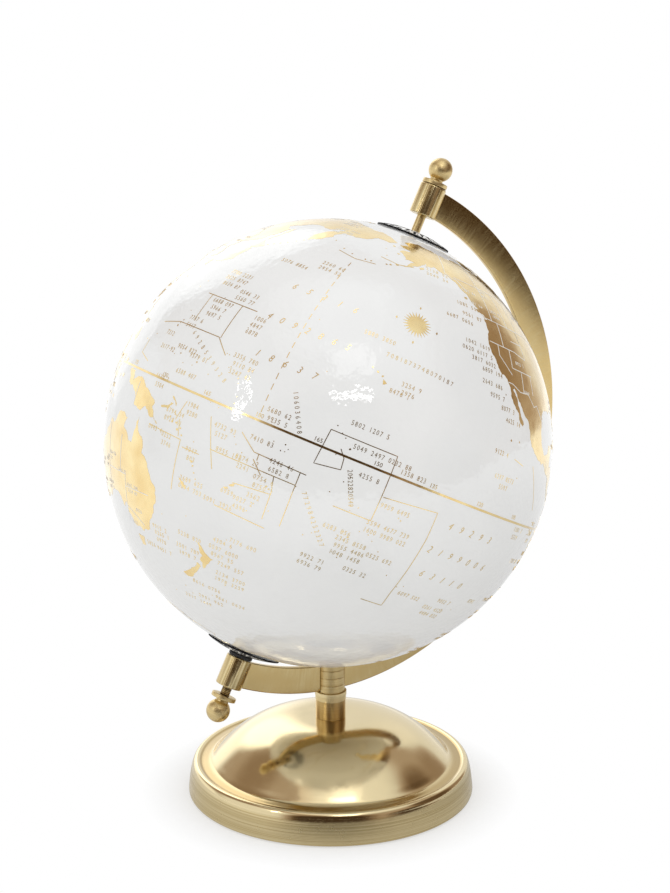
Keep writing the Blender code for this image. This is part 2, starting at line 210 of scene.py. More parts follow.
# Coasts, each a ring of "longitude latitude" places
LAND = {
    "north america": """-168 65.6, -165.4 64.5, -161 64.4, -160.8 63.6, -164.5 63, -166 61.6, -162.5 60,
        -162 58.7, -157.3 58.7, -160 56, -163 55.1, -164.8 54.6, -161 55.3, -158 56.4, -156 57.5,
        -153.8 59, -151.6 61, -151.8 59.3, -149.5 59.9, -147 60.9, -144.5 60, -139.7 59.6, -136.5 58.2,
        -134 56.5, -131 55, -130 53.8, -128 52, -124.5 49.9, -122.5 48.6, -124.6 48.3, -124 46.2,
        -124.5 42.8, -124.3 40.4, -122.5 37.7, -120.6 34.6, -118.3 33.8, -117.2 32.6, -115.8 30,
        -114.9 27.8, -112.2 25.8, -112 24.6, -110 22.9, -109.5 23.6, -111.4 26, -112.4 27.5, -114.8 31.2,
        -114 31.6, -112.2 29, -111 27.9, -109.4 26.2, -106.4 23.2, -105.4 20.6, -104.3 19, -99.9 16.8,
        -96.5 15.7, -94.6 16.2, -92.2 14.5, -87.6 13, -85.8 10.2, -82.9 8.2, -80.3 7.4, -79.4 8.9,
        -77.6 7.4, -77.4 8.6, -79.6 9.6, -82 9, -83.6 10.8, -83.4 15, -88.3 15.8, -87.8 18.5, -87 21.5,
        -90.2 21.1, -91 18.7, -94.5 18.2, -96.2 19.4, -97.8 22.4, -97.3 27.5, -94.8 29.4, -89.4 29.1,
        -88 30.3, -85.2 29.7, -83.9 30, -82.7 27.9, -80.9 25.2, -80.1 26.8, -81.4 30.5, -78.8 33.7,
        -75.6 35.2, -76.2 37.2, -74 40.3, -70 41.8, -70.6 43.1, -67 44.8, -65.8 43.5, -61 45.4,
        -64.8 46.6, -64.4 48.9, -69 48.3, -66.5 50.2, -60 50.2, -55.8 52.4, -57.6 54.7, -61.8 56.8,
        -64.6 60.3, -68.5 58.8, -70 61, -77.6 62.5, -78.4 58.8, -76.6 57.1, -79 54.6, -79.4 51.4,
        -82.2 53, -82.4 55.2, -87 56.1, -92.5 57, -94.6 58.9, -93.8 61.2, -90.3 63.2, -87 64.2, -86 66.2,
        -81.6 67.2, -81.6 69, -85.3 69.6, -88 68.4, -90.6 69.4, -92 71, -95.6 71.8, -96 68.6, -108 68,
        -115 68, -122 69.8, -128.5 70.2, -135.5 69.2, -141 69.7, -150 70.5, -156.6 71.3, -162 70,
        -166.4 68.3, -163 66.8""",
    "greenland": """-73 78.3, -68 80.3, -60 82, -45 82.6, -32 83.6, -22 82.2, -18 80, -19.5 76, -22 72,
        -25 70.5, -32 68, -40 65, -43 60, -48 61, -51 64, -53.5 67, -51 69.5, -55 71.5, -58 75, -66 76""",
    "south america": """-77.4 8.6, -75.5 10.7, -72 12.2, -71.5 10.8, -68 11.5, -64 10.3, -61 9.5, -57 6,
        -52 5, -50 1, -48 -1, -44.3 -2.7, -39 -3, -35.2 -5.5, -35 -8.5, -37.3 -11.5, -39 -15, -39.6 -19.5,
        -41.5 -22.3, -45 -23.8, -48.5 -26, -49 -29, -52.3 -33, -54.5 -34.8, -58 -34, -57 -36.3,
        -58.5 -38.5, -62.2 -39, -65 -41, -63.7 -42.7, -65.5 -45, -67.5 -46, -66 -48, -69 -51, -68.4 -52.5,
        -71 -53.8, -73.5 -52, -75.5 -49, -74.5 -45, -73 -41.8, -73.5 -38, -71.6 -33, -71.3 -29, -70.4 -25,
        -70.3 -18.5, -76 -14, -79 -8, -81.2 -6, -81.3 -4.5, -80 -2.8, -80.9 -1, -80 0.8, -78.8 1.6,
        -77.2 4, -77.6 7.4""",
    "tierra del fuego": "-68.6 -52.8, -65.2 -54.7, -69 -55.4, -72 -54.3",
    "africa": """-6 35.8, -2 35.1, 3 36.9, 10 37.3, 10.5 34.2, 15 32.4, 20 31, 20 32.8, 23 32.6, 29 31,
        32.3 31.2, 32.5 30, 34 27, 35.5 24, 37.2 21, 37.3 19, 39.5 15.5, 43 12.5, 43.3 11.5, 45 10.5,
        51.2 11.8, 48 4.5, 43 -0.5, 39.5 -4.5, 39 -8, 40.6 -12, 40.5 -15.5, 35 -20, 35.5 -24, 32.8 -26,
        31 -30, 26 -33.8, 20 -34.8, 18.3 -33, 15.2 -27, 14.4 -22.5, 11.8 -17, 13.8 -11, 12.2 -6, 9 -1,
        9.5 3.9, 8.5 4.6, 5.5 4.4, 4 6.3, -2 4.8, -7.5 4.4, -11 6.7, -13.2 9, -16.7 12.5, -17.4 14.7,
        -16.3 19, -17 21, -14.5 26, -10 29.5, -9.7 31.5""",
    "madagascar": "49.3 -12, 50.4 -15.8, 47.1 -25, 44 -25, 43.5 -22, 44.5 -16.3, 47 -15",
    "eurasia": """-5.6 36, -9 37, -9.4 38.7, -8.8 42, -8 43.7, -1.8 43.4, -1.2 45.8, -4.7 48.2, -1.5 48.7,
        -1.7 49.7, 1.6 50.5, 4.5 52.3, 8.2 53.7, 8.2 57, 10.6 57.6, 10 55, 12 54.2, 14.3 54, 18.8 54.5,
        21 55.3, 21.5 57.5, 24 57.3, 23.7 59.2, 28 59.6, 25 60.2, 22.3 60, 21.4 61.5, 25.2 65, 22 65.8,
        17.3 62, 18.8 60, 16.5 57, 14.3 55.6, 12.8 55.6, 11.2 58.9, 8 58.1, 5.4 59, 5 62, 10 64, 14 67.5,
        20 70, 25.5 71.1, 30.5 70.3, 41 67, 40 66.3, 33 66.6, 35 64.4, 38 64.8, 40.3 64.6, 44 66.2,
        44 68.4, 46 68, 54 68.5, 60.5 69, 68 68.5, 67 72, 72.5 72.8, 73 68, 76 69, 75 72, 80.5 72.3,
        81 73.6, 87 75, 98 76.3, 104.3 77.7, 113.5 75.7, 113.5 73.7, 120 73, 128 71.5, 131 71, 140 72.5,
        152 71, 160.5 69.7, 170.5 69, 176 69.8, 180 69, 190 66.1, 186.5 64.4, 179 64.5, 177.5 62.7,
        170.5 60, 163.5 59.8, 162 57.5, 163 56, 160 53, 156.7 51, 155.7 55, 156.8 57.8, 163 61.6,
        160 61.8, 155 59.3, 143 59.3, 135.3 54.8, 141 53, 140.5 49.5, 135.5 44, 132 43.2, 130 42,
        127.5 39.7, 129.4 37, 129 35.2, 126.4 34.4, 126.5 37.5, 125 39.6, 121.5 38.9, 122 40.6, 118 39.1,
        119 37.3, 122.4 37.3, 119.3 34.8, 121.8 31.8, 121.8 29, 119 25.5, 114.2 22.3, 110.4 21, 108 21.6,
        105.8 19, 108.8 15.5, 109.3 12, 106.8 10.4, 105 8.7, 105 10.4, 102.5 12, 100.8 13.4, 99.5 10.5,
        100.5 7.2, 103.4 4, 104.2 1.4, 101.3 2.8, 100.2 6, 98.4 8, 98.7 12, 97.6 16.5, 94.4 16, 94.2 18.5,
        91.8 22.4, 87 21.3, 80.2 15.5, 80.2 13, 79.8 10.3, 77.6 8, 74.8 13, 72.8 19, 72.7 21, 70.3 20.9,
        69 22.3, 67 24.8, 61.6 25.2, 57.2 26, 56.3 27, 51.5 27.8, 48.8 30.2, 48 29.8, 50.2 26.5, 51.5 24.3,
        54 24, 56.2 26, 56.6 24.3, 59.8 22.5, 55.2 17.6, 52 15.7, 45 12.8, 43.4 12.7, 42.8 15.5, 39 21.5,
        35 28, 34.9 29.5, 34.2 27.8, 32.6 29.9, 32.3 31.2, 34.3 31.2, 35.9 35, 36 36.8, 32.5 36, 30.5 36.8,
        27.5 36.8, 26.3 39, 27.3 40.5, 29.2 41.2, 31.5 41.3, 35 42, 38 41, 41.6 41.6, 38 44.5, 39.2 47.2,
        35 46.2, 36.5 45.3, 33.8 44.4, 33 46, 30.8 46.5, 28.6 44, 28 42, 29 41.2, 26.2 40.8, 23 40.5,
        24 38, 22.8 36.6, 21.3 37.5, 19.4 41, 16.4 43.4, 13.6 45.1, 12.3 45.3, 12.5 44, 14 42.5,
        16.1 41.8, 18.4 40.2, 17 40.4, 16.8 39, 15.7 38, 15.8 40, 12.4 41.8, 10.4 43.7, 8.8 44.4, 6 43.1,
        3.2 43.2, 3.2 42, 0 39.7, -0.5 38, -2.2 36.8""",
    "great britain": """-5.5 50, 1.3 51.2, 1.7 52.7, 0 53.6, -1.8 55.6, -3 56, -2 57.6, -3.2 58.6, -5 58.6,
        -6 56.6, -4.8 55, -3 54.8, -4.5 53.3, -5 51.8, -3 51.4""",
    "ireland": "-6 52.2, -6 54, -7.5 55.3, -10 54.2, -9.8 51.6",
    "iceland": "-22.5 64, -18.7 63.4, -13.6 65, -16 66.5, -22.4 66.4, -24.3 65.5",
    "honshu": """131 34, 135.5 33.5, 138.8 34.7, 140.8 35.7, 142 39.6, 141.4 41.4, 140 40.5, 139 38,
        137 36.8, 133 35.5""",
    "kyushu": "130 33.5, 131.8 33.5, 131 31.2, 130 31.5",
    "hokkaido": "140 41.5, 143.2 42, 145.4 43.3, 141.8 45.4, 141.5 43.2",
    "sakhalin": "142 46, 143.5 49, 143 54, 142 53, 142 49",
    "taiwan": "120.2 23, 121 22, 122 25",
    "luzon": "120.5 18.5, 122.2 18.4, 121.6 15.8, 124 13, 120.6 13.8, 120 16",
    "mindanao": "122 7, 125.5 9.7, 126.4 7.5, 125.4 5.8, 124 6.8",
    "borneo": """109 1.5, 111.5 2.5, 113.5 3.6, 117 7, 119 5.2, 117.8 3, 118.8 1, 116.5 -1.5, 116 -4,
        111.5 -3.3, 110 -1.5""",
    "sumatra": "95.3 5.6, 98 4.3, 103.5 0, 106 -3, 105.8 -5.8, 102.3 -4, 98.8 1.5",
    "java": "105.2 -6.8, 108.5 -6.7, 112.8 -6.8, 114.5 -8.6, 108.5 -7.8",
    "sulawesi": """119.8 0.7, 125 1.5, 124 0.4, 120.5 0.4, 121 -1, 123.3 -0.8, 121.8 -2, 122.8 -4.4,
        121.5 -4.7, 121 -2.8, 120.4 -3, 120.4 -5.5, 119.4 -5.3, 119.3 -3, 119.8 -0.5""",
    "new guinea": """131 -0.8, 134 -0.8, 134.8 -3.3, 138 -1.7, 141 -2.6, 145 -4.4, 147.8 -6, 147.2 -7,
        150.8 -10.5, 147 -9.5, 144.5 -7.6, 142.5 -9.2, 138.8 -8.2, 138 -5.6, 133 -4, 131.2 -1.4""",
    "new britain": "148.4 -5.7, 151.5 -4.2, 152.3 -4.3, 151 -6, 148.5 -6.2",
    "new ireland": "150.8 -2.6, 152.9 -4, 153 -4.7, 152.2 -3.6",
    "bougainville": "154.6 -5.5, 155.9 -6.7, 155.3 -6.6",
    "australia": """142.5 -10.7, 143.6 -14.3, 145.3 -15, 146.2 -18.8, 148.8 -20.3, 150.8 -23.4, 153.1 -25.5,
        153.6 -28.7, 152.5 -32.4, 150.8 -34.5, 150 -37.4, 147 -38.3, 146.3 -39.1, 144.5 -38.2, 141 -38.2,
        139.5 -36.2, 138 -35.6, 138.4 -34.5, 137.6 -33, 136 -34.8, 134 -32.6, 131 -31.5, 126 -32.3,
        123.8 -34, 120 -34, 118 -35, 115 -34.3, 115.8 -32, 114.2 -28, 113.5 -25, 114.1 -21.8, 117 -20.7,
        121.5 -18.8, 122.3 -17, 124 -16.3, 126 -14, 128.5 -14.9, 130.3 -12.7, 132.5 -11.3, 136.7 -12.2,
        135.6 -14.8, 139 -17.4, 140.8 -17.4, 141.6 -14""",
    "tasmania": "144.7 -40.8, 148.2 -40.9, 148 -43.2, 146 -43.6",
    "new zealand north": """172.7 -34.5, 175.4 -36.7, 178.5 -37.7, 177 -39.5, 175.2 -41.6, 174.8 -40,
        173.8 -39.3, 174.8 -38""",
    "new zealand south": """172.7 -40.6, 174.2 -41.4, 172.7 -43.6, 170.7 -46, 168.4 -46.6, 166.5 -45.9,
        170.5 -43.1""",
    "new caledonia": "164 -20.1, 167 -22.2, 166.3 -22.3, 164.2 -20.6",
    "fiji west": "177.3 -17.7, 178.3 -17.4, 178.7 -18, 177.5 -18.2",
    "fiji east": "178.5 -16.8, 180 -16.1, 179.9 -16.7, 178.7 -17",
    "cuba": "-84.9 21.9, -82.5 23.1, -77 21.8, -74.2 20.2, -77.7 19.8, -78.5 21.5",
    "hispaniola": "-74.4 18.5, -73 19.9, -68.5 18.5, -71 17.9",
    "newfoundland": "-59.3 47.7, -55.8 51.5, -53 47",
    "vancouver island": "-128.3 50.7, -123.5 48.4, -125.2 50.2",
    "kodiak": "-154.7 57.4, -152.5 58.3, -152.3 57.6, -154 56.8",
    "baffin": "-80 73.7, -72 71, -61.5 66.5, -65 62, -72 64.5, -73 68, -88 70.5, -89 73.5",
    "ellesmere": "-90 77, -78 76.5, -62 82.5, -75 83, -92 81",
    "victoria island": "-117 70, -102 68.8, -105 73, -115 73.3",
    "svalbard": "11 79, 17 76.7, 27 80, 15 80",
    "novaya zemlya": "51.6 71.5, 57 70.7, 68.5 76.8, 60 76",
    "sri lanka": "79.9 8, 81.8 7, 80.5 6",
    "hainan": "108.7 19.2, 110.8 20, 110 18.4",
    "sicily": "12.5 37.8, 15.6 38.2, 15.2 36.8",
    "hawaii": "-156 20.2, -154.8 19.5, -155.7 18.9",
}
INLAND_SEA = """47 45.5, 51 46.8, 53 45, 51 44.4, 52.8 42, 53.8 39, 53.9 37, 50.3 37.3, 49.3 40.5,
    47.6 43"""

# Small islands: longitude, latitude and width in millimetres
ISLANDS = """-156.4 20.8 1, -157.9 21.4 1.1, -159.5 22 .9, -91 -.6 1.3, -90.3 -.7 .7, -139.2 -9.2 .7,
    -140 -8.8 .6, -149.4 -17.6 .9, -151 -16.7 .6, -145 -15.2 .6, -143.4 -16.3 .5, -140.6 -18.2 .6,
    -147.4 -15.2 .5, -159.8 -21.2 .6, -158 -19.9 .5, -149.5 -23.4 .6, -151.3 -22.5 .5, -172.4 -13.6 1,
    -171.6 -14 .9, -170.7 -14.3 .6, -175.2 -21.1 .7, -174 -18.7 .6, -169.9 -19 .6, 166.9 -15.3 1.3,
    167.5 -16.2 1, 168.3 -17.7 .8, 169.1 -19 .7, 156.8 -7.4 1, 157.8 -8.3 1, 159.2 -8.2 1, 160.1 -9.6 1.3,
    161 -9 1, 161.9 -10.5 1, 166 -10.7 .6, -157.4 1.9 1, -159.3 3.9 .6, -160.4 4.7 .5, -162.1 5.9 .6,
    -160 -.4 .5, -154.9 -4 .6, -155.9 -5.6 .6, -150.2 -10 .6, -152.3 -10.1 .5, -151.8 -11.4 .5,
    -176.6 .8 .6, -176.5 .2 .5, -171.6 -2.8 .7, -174.5 -3.1 .5, -172.2 -4.5 .6, -171.2 -4.4 .5,
    -170.6 -3.6 .5, -158 -9 .6, -165.8 -10.9 .5, 179.2 -8.5 .6, 177.1 -7.2 .5, 176.1 -5.7 .5, 173 1.4 .7,
    174.5 -1.3 .5, 172.9 3.1 .5, 166.9 -.5 .5, 169.5 -.9 .5, 171.2 7.1 .7, 168 9 .6, 167.5 8.7 .5,
    166 11.5 .5, 170 11.2 .5, 165.2 11.6 .5, 171.8 6.1 .5, 158.2 6.9 .9, 151.8 7.4 .8, 163 5.3 .6,
    147 7.4 .5, 149.7 6.7 .5, 154 5.5 .5, 157.2 5.8 .5, 144.8 13.4 1, 145.7 15.2 .7, 145.2 14.2 .5,
    145.8 18.1 .5, 134.5 7.5 .8, 138.1 9.5 .7, 141.3 24.8 .5, 142.2 27 .5, 153.9 24.3 .5, 166.6 19.3 .5,
    -169.5 16.7 .5, -177.4 28.2 .5, -109.4 -27.1 .6, -130.1 -25.1 .6, -134.9 -23.1 .6, -128.3 -24.4 .5,
    -105.4 -26.5 .4, -114.7 18.4 1.1, -111 18.8 .9, -109.2 10.3 .6, -118.3 29 .7, -119.8 34 .7,
    -164.3 54.7 1.5, -166.8 53.7 1.2, -168.3 53.2 1, -174.3 52.1 .9, -176.6 51.8 .9, 177.5 52 .8,
    172.9 52.9 .9, 166.2 55.1 .8, -170.3 57.1 .7, -170.2 63.4 1.5, -166 60.1 1.3, -172.8 60.4 .6,
    -132 53.2 1.9, -133.4 56.6 1, -134.8 57.8 1.2, 155.7 50.4 .9, 154 48.9 .6, 152 47.2 .7, 149.8 46.1 1,
    147.9 45.1 1.1, 146 44.1 .9, -16 28.3 1, -14 28.6 .8, -24 15.2 .9, -25.5 37.8 .7, -28.5 38.5 .6,
    55.5 -21 .8, 57.6 -20.2 .7, 55.4 -4.6 .5, 73.5 4.2 .5, 69.5 -49.3 1.6, -59 -51.7 1.9, -36.8 -54.3 1.3,
    9 40 1.9, 9.1 42.2 1.4, 25 35.2 1.5, 33.2 35 1.5, 3 39.6 1, -77.3 18.1 1.3, -66.5 18.2 1.4,
    -61.2 10.4 1, -77.8 24.4 1.2, -75.3 23.5 .8, -61.3 16.2 .6, -61 14.6 .6, 125 -9 1.9, 121 -8.6 1.9,
    117.5 -8.7 1.7, 115.2 -8.4 1, 128 .8 2, 129.3 -3.1 2, 126.6 -3.4 1.3, 118.5 9.7 1.7, 122.6 10.7 1.9,
    125 11.7 1.9, 128 26.4 .8, 126.5 33.4 .8, 178.7 -49.7 .5, 166.1 -50.7 .7, 169.1 -52.5 .6,
    -176.4 -44 .8, 159 -31.5 .5, 168 -29 .5, 158.9 -54.5 .6, -178.4 -30.5 .5"""
ISLAND_SIDES = 9
ISLAND_SHAPE = 0.8
ISLAND_LEAN = 7

# Gold lines on the sea: rings round island groups and the edges of waters
SEA_LINES = (
    "147 24, 166 24", "161 24, 161 14.5", "149 24, 149.5 17", "138 13, 145 14.5, 160.5 14.5, 165 11",
    "136 7.5, 135.5 4, 140.5 2.5", "150 -11.2, 162 -11.5", "160 -7, 161 -11", "158.7 -7.5, 160.4 -2.5",
    "168.5 -3.5, 171 -10, 173 -15", "177.5 -4, 182 -7.2, 195.5 -7.5", "183.3 -7.2, 183.3 -8.8",
    "194 -7.4, 194 -21.5", "171 -10.7, 194 -10.7", "182.4 -8.8, 185.4 -11.7",
    "179.3 -16, 189.3 -15, 188.5 -10.8", "189.2 -14.5, 189.2 -21.5", "176 -23, 190.5 -23.5",
    "162 -11.5, 162 -24", "163 -13, 168.5 -13", "196.8 4.5, 213.7 4.5, 213.9 -11.8, 204 -11.8",
    "196.8 4.5, 196 -4.2, 202.4 -3.3, 202.1 -0.6, 200.6 1.2",
    "214.3 -5.5, 229 -4.3, 229.5 -11, 229.5 -27, 230 -31.5, 223 -31.7", "258 14.5, 265 4.3",
    "248 14.4, 252.5 13.6", "188 55.5, 196 55, 203 56.5", "172 51.5, 180 50.5, 188 51.5",
    "268 1.5, 272 1.5, 272 -1.8, 268 -1.8", "40 -12, 46 -9, 52 -9, 57 -4", "56 -19, 66 -19",
    "70 8, 76 8, 76 -1", "90 14, 94 14, 94 6", "340 18, 336 18, 336 14", "330 40, 336 36",
    "300 -49, 304 -53, 296 -53",
)
DATE_LINE = "180 2, 180 50"
FAINT_COAST = """-180 -78, -160 -78.5, -150 -77, -130 -74, -110 -74.5, -100 -72.5, -80 -73, -68 -70,
    -66 -66.5, -57 -63.3, -60 -66, -62 -70, -62 -74.5, -75 -77.5, -60 -79.5, -40 -78, -30 -76.5,
    -15 -72.5, 0 -70.3, 20 -70, 35 -69, 50 -67, 58 -67, 70 -69, 80 -67.5, 90 -66.7, 110 -66, 130 -66,
    145 -67, 160 -70, 170 -72, 164 -75.5, 166 -78"""

# Unprinted lines that part the land
BORDERS = (
    "-123 49, -95 49, -89 48, -83 46, -79 43.3, -75 45, -70 47, -67 45", "-141 60.3, -141 69.5",
    "-141 60.3, -137 59, -135 59.5, -130 56",
    "-117 32.6, -114.8 32.6, -111 31.3, -108 31.5, -106.5 31.8, -103 29, -101 29.7, -97.3 26",
    "-120 48.9, -120 60, -120 68.5", "-110 49, -110 60", "-102 49, -102 60", "-136 60, -102 60",
    "-124 42, -111 42, -104 41", "-120 42, -120 39, -114.6 35", "-114 42, -114 37, -102 37",
    "-117 49, -117 42", "-111 45, -104 45, -104 49", "-104 41, -104 49", "-109 37, -109 31.4",
    "-103 37, -103 32", "-92 17, -91 14.6", "-80 1, -75 0, -70 -4, -73 -9, -70 -11, -69 -17.5",
    "-69 -17.5, -68 -23, -70 -33, -72 -42, -72 -51",
    "-68 -23, -62 -22, -58 -27, -54 -26, -57 -30, -53 -33.5", "-70 -4, -67 1, -60 5, -52 4",
    "-67 1, -72 6, -72 11.5", "141 -2.7, 141 -9", "129 -15, 129 -31.6", "138 -16.6, 138 -26, 129 -26",
    "141 -38, 141 -26, 138 -26", "141 -29, 153 -28.5", "141 -34, 147 -36, 150 -37.3",
    "-8.7 27.6, -8.7 31, -2 32, -2 35", "-8.7 27.6, 3 19, 12 23.5, 10 30, 10 33", "25 31.5, 25 22, 37 22",
    "15 23, 14 13, 4 13, -11 12.5", "24 20, 24 10, 30 4, 35 5, 42 4, 48 8",
    "12 -6, 17 -7, 24 -11, 30 -8, 29 4", "12 -17, 23 -17.6, 33 -14, 35 -11",
    "20 -28, 20 -22, 28 -22, 32 -26", "24 50, 24 56, 28 59", "24 50, 39 48", "15 54, 15 49, 22 48, 28 45",
    "-2 43, 3 42.6", "3 51, 8 47.5, 7 44",
    "50 51, 60 51, 75 54, 87 49, 97 50, 116 50, 120 53, 131 47, 131 43",
    "87 49, 80 42, 74 37, 80 31, 97 28, 102 22, 108 21.6", "62 25.5, 61 35, 74 37",
    "45 30, 44 37, 36 36.5", "68 24.5, 75 32", "30 70, 29 62, 28 60", "100 6, 98 18, 104 17, 107 12",
)

# Rows of small figures where a map has its print: longitude, latitude, figures and rows
FINE_PRINT = """152 30.2 9 3, 160.2 26.6 7 2, 154.5 21 8 3, 150 15.6 6 2, 143.9 11.1 4 1, 146 7.5 7 1,
    153 9 8 1, 158 8.1 7 1, 168.7 20.5 5 3, 170.6 12.1 8 1, 171 9.1 7 2, 156.5 3.4 8 1, 149.3 -.6 6 2,
    157.9 -7 7 2, 163 -3.8 5 2, 152.6 -11.5 6 1, 157.6 -12.9 5 2, -175.8 3.4 7 1, -175.5 1.4 6 1,
    173.1 -5.7 7 2, -177.2 -4.1 7 1, -151 18.4 6 1, -148.5 20 6 2, -129.6 39.4 9 1, -129.7 37.3 11 1,
    -126.8 35.3 10 1, -123.9 33.4 8 1, -123.9 30.3 8 1, -121.8 27.6 6 1, -117.2 25.4 6 1, -114.6 22.9 7 1,
    -131.9 50.5 8 1, -130.7 47.5 7 1, -145.6 57.8 7 2, -154.6 7.9 11 1, -149.5 3 17 1, 176 -9.9 8 1,
    -179 -10.6 7 2, -173.6 -13.4 6 2, -170.8 -8.4 7 2, 166.4 -13.8 5 2, 168 -21 8 2, 178.5 -18.6 4 1,
    -174.2 -17.1 5 1, -176.9 -20.1 6 2, 176.7 -22.2 9 1, -155.1 -27 7 2, 169.6 -34.1 8 1, 169 -38.8 8 2,
    -179.4 -31.7 6 1, -173.6 -30 8 1, -178.8 -34.9 9 2, -175.6 -37.9 8 1, -174.5 -42 10 2,
    176.9 -47.3 10 1, 172 -54.2 10 1, 177.8 -51.9 8 1, -173.9 -49.6 9 1, 157.5 -35.8 6 1, 158.4 -38.4 6 2,
    158.5 -42 6 1, 152.4 -41.8 5 1, -140.8 1.6 8 1, -150.7 -2.6 6 1, -141.6 -7.3 9 1, -152.7 -16.8 8 1,
    -141 -13.2 13 2, -147.6 -19.5 10 2, -139.4 -19.8 8 1, -147.8 -22.4 9 1, -143.3 -25.3 7 1,
    -124.6 -26.4 8 1, -111.4 -24.9 6 1, -112.5 -28.8 10 2, -98.8 -22.6 5 1, -117.6 14.7 6 1,
    -114.3 9.1 9 1, -113.5 7 5 1, -99.5 -2.4 6 2, -136.5 45 9 1, -160.5 30 9 1, 164 41 9 1, 176 44 7 2"""

# Wide-set figures across the open seas: longitude, latitude, step and count
SEA_ROWS = """170.4 33.5 4.9 5, 169.8 23.4 3.8 7, 172.5 13.7 3.9 5, -125.9 -7 3.7 5, -128.2 -13.9 3.5 7,
    -126.2 -20.3 3.8 5, -52 38 5 5, -60 29 4.4 8, -30 -14 4 5, -34 -22 4 8, 62 -8 5 6, 66 -18 4.6 5,
    20 -52 7 8, 85 76 11 6"""

# Rows of figures that run from one place to another: two places and the count
SLANTED_ROWS = """152.1 12.8 167.7 4.9 10, -174.7 8.9 -170.2 .8 9, -163.8 -12 -154.9 -22.2 12,
    -156 -3 -152.6 -10.4 11, -157 25.9 -138 25.2 16, -40 23.8 -20 23.8 14, 55 -23.2 78 -23.2 16,
    92 1.4 100 1.4 7, -30 66.6 -10 66.6 12, 60 .9 72 .9 8"""

# The sun, the degree figures at the equator and the print of the hour dials
SUN_PLACE = (-151.5, 37.4)
SUN_RAYS = 24
SUN_REACH = 0.0064
SUN_DISC = 0.0038
SUN_POINT = 0.0092
SUN_POINT_SIZE = (0.0009, 0.0016)
SUN_HEART = 0.002
FIGURE_STEP = 15
FIGURE_SIZE = 0.0026
FIGURE_LATITUDE = 0.7
HOURS = 24
DIAL_RIM_PRINT = 0.0168
DIAL_LINE = (0.0100, 0.0103)
HOUR_FIGURE_SIZE = 0.0046
HOUR_FIGURE_WEIGHT = 0.00026
HOUR_FIGURE_SMOOTHNESS = 3
HOUR_FIGURE_FOOT = 0.0107
HOUR_FIGURE_STRETCH = 1.65
HOUR_FIGURE_SQUEEZE = 0.58
HOUR_FIGURE_RADIUS = 0.0130

# Small figures, as charts have for soundings: their sizes, shares of the size, and how rows are set
PRINT_SIZE = 0.0030
SLANTED_SIZE = 0.0030
SEA_ROW_SIZE = 0.0046
LAND_PRINT_SIZE = 0.0023
PRINT_PITCH = 0.52
PRINT_SQUEEZE = 0.80
PRINT_WEIGHT = -0.006
PRINT_LEADING = 1.15
PRINT_RISE = 0.36
PRINT_SMOOTHNESS = 2
PRINT_SEED = 23
GROUP = 5
LEAST_FIGURES = 3
SHORTER_ROWS = 3
SEA_ROW_LEAN = 0.3

# Print on the far side and on the land: places, their latitudes, figures and rows in each, and far longitudes
UNSEEN_PLACES = 420
UNSEEN_LATITUDES = (-58, 74)
UNSEEN_FIGURES = (4, 9)
UNSEEN_ROWS = (1, 1, 2)
FAR_SIDE = (-95, 128)

# Widths of the printed lines, and the date line's step with the steps drawn and left out of a dash
EQUATOR_WIDTH = 0.00095
SEA_LINE_WIDTH = 0.00034
FAINT_COAST_WIDTH = 0.00022
BORDER_WIDTH = 0.0003
DATE_LINE_STEP = 0.4
DATE_LINE_DASH = (4, 3)


def linear(code):
    """Linear colour of an sRGB hex value."""
    shares = [int(code[i:i + 2], 16) / 255 for i in (1, 3, 5)]
    return (*(s / 12.92 if s <= 0.04045 else ((s + 0.055) / 1.055) ** 2.4 for s in shares), 1.0)


def add(tree, kind, inputs=None, **settings):
    """Add a node with its settings; an input takes a value, or the socket that is linked to it."""
    node = tree.nodes.new(kind)
    for key, value in settings.items():
        setattr(node, key, value)
    for key, value in (inputs or {}).items():
        if isinstance(value, bpy.types.NodeSocket):
            tree.links.new(value, node.inputs[key])
        else:
            node.inputs[key].default_value = value
    return node


def new_finish(name, **sockets):
    """A material, its tree and its shader, with the values that are alike all over the surface."""
    finish = bpy.data.materials.new(name)
    finish.use_nodes = True
    tree = finish.node_tree
    shader = tree.nodes["Principled BSDF"]
    for key, value in sockets.items():
        shader.inputs[key.replace("_", " ")].default_value = value
    return finish, tree, shader


def mottle(tree, source, scale, low, high, detail=2.0):
    """Noise of that scale on a coordinate, as a value between low and high."""
    cloud = add(tree, "ShaderNodeTexNoise", {"Vector": source, "Scale": scale, "Detail": detail})
    limits = {"Value": cloud.outputs[0], "From Min": NOISE_RANGE[0], "From Max": NOISE_RANGE[1],
              "To Min": low, "To Max": high}
    return add(tree, "ShaderNodeMapRange", limits).outputs[0]


def surface(tree, shader, share, first, second, rough=None, height=None, depth=0.0):
    """Link a shader's colour, between two by their share, its roughness and its relief of real depth."""
    colour = add(tree, "ShaderNodeMix", {0: share, 6: first, 7: second}, data_type="RGBA")
    tree.links.new(colour.outputs[2], shader.inputs["Base Color"])
    if rough is not None:
        tree.links.new(rough, shader.inputs["Roughness"])
    if height is not None:
        bump = add(tree, "ShaderNodeBump", {"Height": height, "Distance": depth, "Strength": 1.0})
        tree.links.new(bump.outputs[0], shader.inputs["Normal"])


def clouded(name, first, second, width, detail=2.0, rough=None, bumps=None, **sockets):
    """A finish that clouds between two sRGB values over so many millimetres.

    Rough holds the width, least and most of its roughness; bumps hold the width, detail and
    depth of its relief.
    """
    finish, tree, shader = new_finish(name, **sockets)
    place = add(tree, "ShaderNodeTexCoord").outputs["Object"]
    share = mottle(tree, place, MM / width, 0, 1, detail)
    roughness, height, depth = None, None, 0.0
    if rough:
        rough_width, least, most = rough
        roughness = mottle(tree, place, MM / rough_width, least, most)
    if bumps:
        bump_width, bump_detail, depth = bumps
        height = mottle(tree, place, MM / bump_width, 0, 1, bump_detail)
    surface(tree, shader, share, linear(first), linear(second), roughness, height, depth)
    return finish


